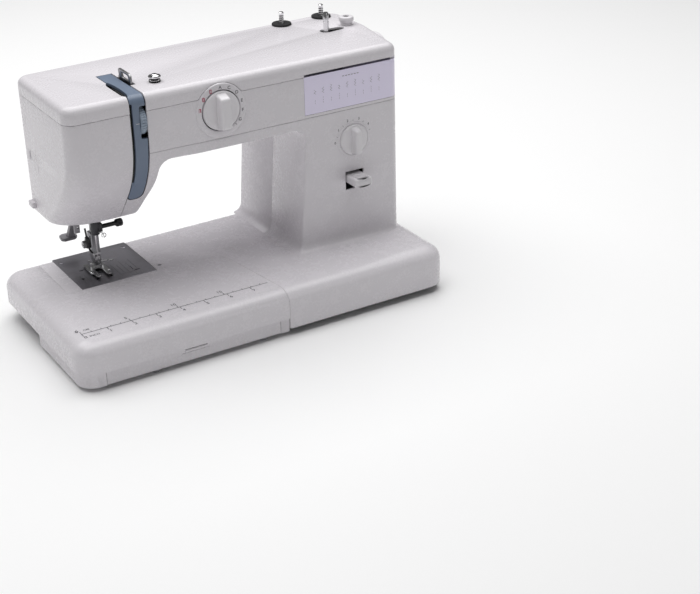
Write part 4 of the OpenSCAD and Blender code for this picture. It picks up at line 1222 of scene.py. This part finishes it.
carve(ankle, block("ankle_dish", (presser_x - 2.2, presser_y - 7.2, 62.5),
                   (presser_x + 2.2, presser_y - 6.1, 66.5)))
soften(ankle, 0.5, 3, 45)
settle(ankle, "presser_bar", chrome, smooth=40)
rod_path = [(presser_x - 7.5, presser_y + 1, 95), (presser_x - 7.8, presser_y - 2, 88),
            (presser_x - 8.2, presser_y - 3.5, 80), (presser_x - 6.5, presser_y - 4.5, 73),
            (presser_x - 4.2, presser_y - 5, 69)]
guide_rod = wire("thread_guide_rod", bent(rod_path), 1.0, 12)
settle(guide_rod, "presser_bar", black_plastic, smooth=60)
side_block = block("shank_lever", (presser_x - 9.5, presser_y - 4.5, 74.5),
                   (presser_x - 4.4, presser_y + 2, 86))
pick(side_block, "FACE", lambda c, n: n.z > 0.9)
bpy.ops.transform.resize(value=(0.7, 0.8, 1))
done()
soften(side_block, 0.8, 3, 40)
settle(side_block, "presser_bar", black_plastic, smooth=40)
foot_screw_shape = [(0, 0), (3.2, 0), (3.8, 0.6), (4.0, 1.4), (4.0, 3.6), (3.4, 4.4), (1.6, 4.7),
                    (1.5, 9), (0, 9)]
foot_screw = lathe("foot_screw", foot_screw_shape, (presser_x - 12, presser_y, 78), (1, 0, 0), 72)
fluted(foot_screw, (0, presser_y, 78), (1, 0, 0), 20, 0.3, 3.5)
carve(foot_screw, block("driver_slot", (presser_x - 13, presser_y - 5, 77.5),
                        (presser_x - 11.2, presser_y + 5, 78.5)))
settle(foot_screw, "foot_screw", steel, ("foot_screw",), smooth=40)

# the foot itself: a bent sole with its toes parted, two cheeks, a cross pin and a guide wire
foot = block("presser_foot", (needle_x - 10, foot_tip + 5, 50.3), (needle_x + 10, 58, 51.7))
pick(foot, "FACE", lambda c, n: n.y < -0.9)
bpy.ops.mesh.extrude_region_move(TRANSFORM_OT_translate={"value": (0, -4.6, 1.6)})
done()
round_edges(foot, 2.4, 5, lambda a, b: abs(a.z - b.z) > 1 and a.y > 50)
carve(foot, block("toe_gap", (needle_x - 3.6, 10, 40), (needle_x + 3.6, 40, 60)))
carve(foot, rod("toe_gap_end", (needle_x, 40, 40), (needle_x, 40, 60), 3.6, 32))
for side in (-1, 1):
    carve(foot, block("outer_trim", (needle_x + side * 10.6 - 3, 10, 40),
                      (needle_x + side * 10.6 + 3, 33, 60)))
soften(foot, 0.35, 2, 40)
for x in (-7, 5.4):
    cheek = block("cheek", (needle_x + x, 43, 51), (needle_x + x + 1.6, 49.5, 59.6))
    round_edges(cheek, 1.8, 4, lambda a, b: a.z > 55 and b.z > 55 and abs(a.x - b.x) > 1)
    carve(foot, cheek, "UNION")
carve(foot, rod("cross_pin", (needle_x - 6.4, 46, 57), (needle_x + 6.4, 46, 57), 1.2, 24), "UNION")
settle(foot, "presser_foot", chrome, ("presser_foot",), smooth=40)
foot_wire = wire("foot_guide_wire", bent([(needle_x + 9, 54, 52.4), (needle_x + 15, 50, 54),
                                          (needle_x + 17, 42, 57), (needle_x + 15.5, 35, 60.5)]), 0.8, 12)
settle(foot_wire, "presser_foot", chrome, smooth=60)

# ---------------------------------------------------------------------------------------------
# Presser foot lifter
# Grey moulded lever behind the foot; its six-sided paddle is pushed up by the finger.
# ---------------------------------------------------------------------------------------------
paddle_grey = plastic("paddle_grey", (0.27, 0.26, 0.28), gloss=0.35)
paddle_outline = [(-152, 86.5), (-149, 83), (-137.5, 83), (-134, 86.5), (-135.5, 95.5), (-139, 97),
                  (-147.5, 97), (-151, 95)]
paddle = prism("presser_lifter", paddle_outline, 70, 74)
soften(paddle, 1.2, 4, 40)
lever_start, lever_end = Vector((-141, 62, 118)), Vector((-141, 88, 72.5))
along = (lever_end - lever_start).normalized()
stalk = block("lifter_stalk", (-1.6, -2.0, 0), (1.6, 2.0, (lever_end - lever_start).length))
pick(stalk, "FACE", lambda c, n: n.z > 0.9)
bpy.ops.transform.resize(value=(1.7, 2.0, 1))
done()
stalk.data.transform(Matrix.Translation(lever_start) @ along.to_track_quat("Z", "X").to_matrix().to_4x4())
soften(stalk, 0.7, 3, 40)
carve(paddle, stalk, "UNION")
carve(paddle, rod("lifter_hub", (-143, 62, 118), (-139, 62, 118), 4.5, 40), "UNION")
settle(paddle, "presser_lifter", paddle_grey, ("presser_lifter",), smooth=40)

# ---------------------------------------------------------------------------------------------
# Guide tab, cutter tab and screw cap
# Small moulded pieces fixed to the head: a grey tab with a thread hole and a white tab by the
# thread cutter stand under it, and a shallow dished cap covers the face cover's screw.
# ---------------------------------------------------------------------------------------------
tab = block("under_tab", (-159, 22, 104), (-153.5, 25, 115))
round_edges(tab, 2.4, 6, lambda a, b: a.z < 104 and b.z < 104 and abs(a.y - b.y) > 1)
carve(tab, rod("tab_hole", (-155.4, 18, 109.5), (-155.4, 30, 109.5), 0.9, 24))
soften(tab, 0.35, 2, 45)
settle(tab, "frame", paddle_grey, smooth=40)
cutter_tab = block("thread_cutter", (-182.5, 72, 119), (-176, 83, 125))
round_edges(cutter_tab, 1.6, 4, lambda a, b: a.x < -182 and b.x < -182)
soften(cutter_tab, 0.4, 2, 45)
settle(cutter_tab, "frame", white_plastic, smooth=40)
screw_recess = rod("cap", (case_left - 0.25, 57, 167), (case_left + 0.5, 57, 167), 5.6, 48)
pick(screw_recess, "FACE", lambda c, n: n.x < -0.9)
bpy.ops.mesh.inset(thickness=1.0, depth=-0.35)
done()
soften(screw_recess, 0.12, 2, 40)
settle(screw_recess, "frame", white_plastic, smooth=40)

# ---------------------------------------------------------------------------------------------
# Take-up lever
# Flat chromed steel plate with a long eye; it rises through the slot beside the strip.
# ---------------------------------------------------------------------------------------------
take_low, take_high = where("takeup_lever")


def plate_yz(name, outline, x0, x1):
    low = [(x0, y, z) for y, z in outline]
    high = [(x1, y, z) for y, z in outline]
    return mesh_of(name, strip_faces(low, high, closed=True) + [list(reversed(low)), high])


takeup_outline = [(-0.3, 250.6), (0.8, 258.4), (3.2, 260.8), (26.4, 260.8), (28.8, 259), (27.5, 253.6),
                  (36, 249.2), (66.3, 229.2), (66.4, 222.8), (60, 222), (50, 231.4), (34, 243),
                  (27, 246.4), (12, 248.4)]
takeup = plate_yz("takeup_lever", takeup_outline, take_low.x + 0.4, take_high.x - 0.4)
eye = [(4.2, 253), (5.2, 257.2), (6.6, 258.2), (20.4, 258.2), (21.6, 257.2), (19.4, 253.2)]
carve(takeup, plate_yz("takeup_eye", eye, take_low.x - 2, take_high.x + 2))
carve(takeup, rod("pivot_hole", (take_low.x - 2, 62, 226), (take_high.x + 2, 62, 226), 2.05, 24))
soften(takeup, 0.4, 3, 30)
settle(takeup, "takeup_lever", steel, ("takeup_lever",), smooth=40)

# ---------------------------------------------------------------------------------------------
# Pretension guide
# Turned and chromed stud screwed into the top cover; the thread passes under its drilled cap.
# A black washer stands between it and the cover.
# ---------------------------------------------------------------------------------------------
guide_x, guide_y, _ = middle_of("pretension_guide")
stud_shape = [(0, -6), (1.4, -6), (1.4, 1.2), (5.4, 1.4), (5.7, 1.9), (5.2, 2.3), (1.7, 2.5), (1.7, 4.2),
              (5.2, 4.0), (6.1, 4.5), (6.2, 5.4), (5.6, 6.2), (3.4, 6.6), (2.4, 7.6), (0, 7.8)]
stud = lathe("pretension_guide", stud_shape, (guide_x, guide_y, arm_top), (0, 0, 1), 64)
for i in range(3):
    turn = math.radians(90 + 120 * i)
    x, y = guide_x + 3.9 * math.cos(turn), guide_y + 3.9 * math.sin(turn)
    carve(stud, rod("stud_hole", (x, y, arm_top + 4.9), (x, y, arm_top + 12), 1.15, 20))
settle(stud, "frame", chrome, ("pretension_guide",), smooth=40)
washer_shape = [(1.8, 0.02), (5.6, 0.02), (5.8, 0.6), (4.4, 1.0), (4.4, 3.6), (1.8, 3.6)]
washer = lathe("pretension_washer", washer_shape, (guide_x, guide_y, arm_top), (0, 0, 1), 48)
settle(washer, "frame", black_plastic)

# ---------------------------------------------------------------------------------------------
# Spool pins and their felts
# Two chromed pins, grooved along their length, that pull up out of the top cover.
# A black felt ring lies round each, under the spool.
# ---------------------------------------------------------------------------------------------
felt_black = plastic("felt_black", (0.02, 0.02, 0.021), gloss=0.95, grain=1.0, drift=0.08, bump=0.4)
felt_shape = [(3.1, 0.02), (10.1, 0.02), (10.5, 0.4), (10.5, 1.5), (10.0, 2.1), (3.5, 2.2), (3.1, 1.8)]
felts = []
pin_radius, groove_pitch = 2.65, 2.4
for name in ("spool_pin_left", "spool_pin_right"):
    x, y, _ = middle_of(name)
    tip = where(name)[1].z
    profile = [(0, 212), (4, 212), (4, 215), (pin_radius, 215)]
    z = 216.0
    while z < tip - 3:
        profile += [(pin_radius, z), (pin_radius - 0.35, z + 0.7), (pin_radius, z + 1.4)]
        z += groove_pitch
    profile += [(pin_radius, tip - 0.8), (pin_radius - 0.7, tip), (0, tip)]
    pin = lathe(name, profile, (x, y, 0), (0, 0, 1), 32)
    settle(pin, name, chrome, (name,), smooth=35)
    felts.append(lathe("felt", felt_shape, (x, y, arm_top), (0, 0, 1), 64))
settle(join("spool_felts", felts), "frame", felt_black, ("spool_felts",), smooth=40)

# ---------------------------------------------------------------------------------------------
# Bobbin winder
# Chromed spindle that swings along a slot in the top cover, against a fixed white ABS stop.
# A thin near-black sheet under the slot paints the shade inside it.
# ---------------------------------------------------------------------------------------------
spindle_shape = [(0, 239.5), (2, 239.5), (2, 245), (5.6, 245), (6, 245.4), (6, 247), (5.6, 247.5),
                 (3, 247.6), (3, 262), (2.6, 262.3), (2.6, 263.2), (3, 263.5), (3, 270.6), (2.3, 271.9),
                 (0, 272)]
spindle = lathe("winder_spindle", spindle_shape, (spindle_x, spindle_y, 0), (0, 0, 1), 48)
carve(spindle, block("spindle_spring_room", (spindle_x - 0.5, spindle_y - 4, 254),
                     (spindle_x + 0.5, spindle_y - 2.2, 268)))
settle(spindle, "winder_spindle", chrome, ("winder_spindle",), smooth=40)
stop_x, stop_y, _ = middle_of("bobbin_stop")
stop_shape = [(0, 0.02), (6.4, 0.02), (6.2, 3.4), (7.4, 4.0), (8.0, 4.9), (8.0, 7.4), (7.3, 8.7),
              (5.9, 9.2), (3.6, 9.2), (3.0, 7.9), (0, 7.9)]
stop = lathe("bobbin_stop", stop_shape, (stop_x, stop_y, arm_top), (0, 0, 1), 64)
settle(stop, "frame", soft_white, ("bobbin_stop",), smooth=35)
screw_shape = [(0, 8), (2.7, 8), (2.7, 8.4), (2.1, 8.8), (0, 8.8)]
stop_screw = lathe("stop_screw", screw_shape, (stop_x, stop_y, arm_top), (0, 0, 1), 32)
settle(stop_screw, "frame", dark_steel)
# near-black sheet just under the winder slot: painted shade
slot_shade_sheet = prism("winder_slot_shade", winder_slot, 244.8, 245.0)
settle(slot_shade_sheet, "frame", gap_shade_black)

# ---------------------------------------------------------------------------------------------
# Screws, and the flow line on the top cover
# Slotted steel screws hold the needle plate, finished like it; plain ones hold the covers from
# the face cover's side and from under the pan. The mould's gate left one fine line on the top.
# ---------------------------------------------------------------------------------------------
screws = []
for x, y in screw_places:
    head_shape = [(0, -2.8), (1.5, -2.8), (1.5, 0.05), (2.9, 0.05), (2.9, 0.3), (2.6, 0.45), (0, 0.45)]
    head = lathe("screw", head_shape, (x, y, bed_top), (0, 0, 1), 40)
    carve(head, block("driver_slot", (x - 3.2, y - 0.4, bed_top + 0.15), (x + 3.2, y + 0.4, bed_top + 2)))
    screws.append(head)
screws.append(lathe("screw", [(0, -6), (1.9, -6), (1.9, -0.9), (2.1, -0.9), (2.1, -0.3), (0, -0.3)],
                    (-74, 19.5, bed_top), (0, 0, 1), 32))
screws.append(rod("screw", (case_left + 0.6, 10, 196), (case_left + 12, 10, 196), 2, 24))
for x in (45, 150):
    for y in (-70, 70):
        screws.append(rod("screw", (x, y, 2.2), (x, y, 12), 2, 24))
settle(join("case_screws", screws), "frame", plate_steel, ("case_screws",), smooth=40)

flow_line = bar_of("mould_line", (-59, 30, arm_top), (-59, 92, arm_top), 0.3, (0, 0, 1), 0.02)
settle(flow_line, "frame", soft_white)

# ---------------------------------------------------------------------------------------------
# Handwheel
# White moulded wheel on the end of the main shaft, with shallow ribs round its rim.
# A smaller finger knob stands outside it, its face slightly dished.
# ---------------------------------------------------------------------------------------------
wheel_low, wheel_high = where("handwheel")
rim = (wheel_high.z - wheel_low.z) / 2
face_at = wheel_high.x
knob_rim = 17
hub_and_rim = [(6.1, -21), (12, -21), (12, -14.4), (rim - 6, -17.4), (rim - 2.2, -18.8), (rim - 0.7, -17.8),
               (rim, -16), (rim, -11.8), (rim - 0.8, -10), (rim - 2.6, -9), (rim - 5, -9.2)]
finger_knob = [(knob_rim + 2, -11.2), (knob_rim + 0.6, -11), (knob_rim, -9.6), (knob_rim, -3),
               (knob_rim - 0.8, -1), (knob_rim - 2.4, 0), (knob_rim - 5, -0.2), (knob_rim - 8, -1.6),
               (0, -2), (0, -4), (6.1, -4.4)]
wheel_shape = [(radius, face_at + back) for radius, back in hub_and_rim + finger_knob]
handwheel = lathe("handwheel", wheel_shape, (0, shaft_y, shaft_z), (1, 0, 0), 216)
fluted(handwheel, (0, shaft_y, shaft_z), (1, 0, 0), 54, 0.45, rim - 0.75)
settle(handwheel, "drive", soft_white, ("handwheel",), smooth=35)

# ---------------------------------------------------------------------------------------------
# Power inlet and switch
# Black moulded socket with three pins and a rocker, set in the right end of the bed.
# ---------------------------------------------------------------------------------------------
inlet_low, inlet_high = where("power_inlet")
_, inlet_y, inlet_z = middle_of("power_inlet")
bed_side = 195
inlet = block("power_inlet", (bed_side, inlet_low.y + 0.2, inlet_low.z + 0.2),
              (inlet_high.x, inlet_high.y - 0.2, inlet_high.z - 0.2))
round_edges(inlet, 2.2, 5, lambda a, b: abs(a.x - b.x) > 1)
carve(inlet, block("inlet_body", (bed_side - 18, inlet_y - 13.6, inlet_z - 9.1),
                   (bed_side + 0.4, inlet_y + 13.6, inlet_z + 9.1)), "UNION")
carve(inlet, block("inlet_well", (bed_side - 14, inlet_y - 11, inlet_z - 6.5),
                   (bed_side + 5, inlet_y + 11, inlet_z + 6.5)))
soften(inlet, 0.4, 3, 45)
settle(inlet, "frame", black_plastic, ("power_inlet",))
pins_made = []
for y, z in ((inlet_y - 6, inlet_z - 1.5), (inlet_y, inlet_z + 2.5), (inlet_y + 6, inlet_z - 1.5)):
    pin = block("pin", (bed_side - 15, y - 0.9, z - 1.6), (bed_side - 3.5, y + 0.9, z + 1.6))
    soften(pin, 0.5, 2, 45)
    pins_made.append(pin)
settle(join("inlet_pins", pins_made), "frame", chrome)
switch_y, switch_z = 67.0, 22.5
rocker = block("power_switch", (bed_side - 5, switch_y - 7.3, switch_z - 8.3),
               (bed_side + 2.6, switch_y + 7.3, switch_z + 8.3))
pick(rocker, "FACE", lambda c, n: n.x > 0.9)
bpy.ops.mesh.subdivide(number_cuts=4)
done()
for vertex in rocker.data.vertices:
    if vertex.co.x > bed_side + 2:
        vertex.co.x += 0.022 * (vertex.co.y - switch_y) ** 2 - 0.7 + 0.08 * (switch_y - vertex.co.y)
soften(rocker, 0.6, 3, 50)
switch_mark = bar_of("mark", (bed_side + 2.45, switch_y - 4.4, switch_z - 2),
                     (bed_side + 2.45, switch_y - 4.4, switch_z + 2), 0.7, (1, 0, 0), 0.35)
settle(rocker, "power_switch", black_plastic, ("power_switch",))
settle(switch_mark, "power_switch", soft_white)
bezel_outer = block("switch_surround", (bed_side, switch_y - 12.2, switch_z - 12),
                    (bed_side + 1.2, switch_y + 12.2, switch_z + 12))
carve(bezel_outer, block("surround_room", (bed_side - 3, switch_y - 10.2, switch_z - 9.6),
                         (bed_side + 3, switch_y + 10.2, switch_z + 9.6)))
soften(bezel_outer, 0.5, 3, 45)
settle(bezel_outer, "frame", black_plastic)

# ---------------------------------------------------------------------------------------------
# Carry handle
# White moulded loop that folds down behind the arm on two lugs.
# ---------------------------------------------------------------------------------------------
handle_low, handle_high = where("carry_handle")
handle_left, handle_right = handle_low.x + 6.5, handle_high.x - 6.5
handle_y, handle_z = 107.5, 231
handle = block("carry_handle", (handle_left, handle_y - 2.2, 184),
               (handle_right, handle_y + 2.2, handle_z + 3))
carve(handle, block("hand_room", (handle_left + 12, handle_y - 5, 196),
                    (handle_right - 12, handle_y + 5, 260)))
round_edges(handle, 5, 6, lambda a, b: abs(a.y - b.y) > 3 and (a.z < 185 or (190 < a.z < 200)))
soften(handle, 1.4, 4, 40)
for x0, x1 in ((handle_left - 6.5, handle_left + 2), (handle_right - 2, handle_right + 6.5)):
    carve(handle, rod("lug_pin", (x0, handle_y, handle_z), (x1, handle_y, handle_z), 2.5, 32), "UNION")
settle(handle, "carry_handle", soft_white, ("carry_handle",), smooth=45)

# ---------------------------------------------------------------------------------------------
# Base pan, feet and the machinery behind the covers
# These keep the frame's own shapes: pressed pan, rubber feet, die-cast chassis, steel shafts,
# bronze bushes, toothed belts, motor, hook and bobbin. Each gets the finish of its real material.
# ---------------------------------------------------------------------------------------------
pan_grey = plastic("pan_grey", (0.36, 0.36, 0.37), gloss=0.5, grain=1.5, bump=0.05)
rubber = plastic("rubber", (0.030, 0.030, 0.032), gloss=0.75, grain=1.0, bump=0.08)
foot_grey = plastic("foot_grey", (0.33, 0.33, 0.35), gloss=0.55)
belt_rubber = plastic("belt_rubber", (0.018, 0.018, 0.018), gloss=0.8, bump=0.1)
motor_metal = metal("motor_metal", (0.11, 0.11, 0.12), gloss=0.5, scratch=0.7, stretch=1.0, metallic=0.7)
case_metal = metal("case_metal", (0.60, 0.60, 0.61), gloss=0.25)
clear_bobbin = plastic("clear_bobbin", (0.55, 0.58, 0.60), gloss=0.12, grain=0.2)
lamp_glass = plastic("lamp_glass", (0.80, 0.78, 0.62), gloss=0.1, grain=0.2)
finishes = {
    pan_grey: ["base_pan"],
    rubber: ["rubber_feet"],
    foot_grey: ["table_feet"],
    cast_metal: ["chassis"],
    chrome: ["tension_discs", "feed_dog"],
    case_metal: ["hook_race", "bobbin_case", "shuttle_hook"],
    steel: ["main_shaft", "crank", "connecting_rod", "lower_shaft", "motor_pulley", "winder_arm"],
    bronze: ["shaft_bushes"],
    black_plastic: ["upper_pulley", "lower_pulley"],
    belt_rubber: ["timing_belt", "motor_belt"],
    motor_metal: ["motor"],
    clear_bobbin: ["bobbin"],
    lamp_glass: ["lamp"],
}
for paint, names in finishes.items():
    for name in names:
        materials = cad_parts[name].data.materials
        materials.clear()
        materials.append(paint)
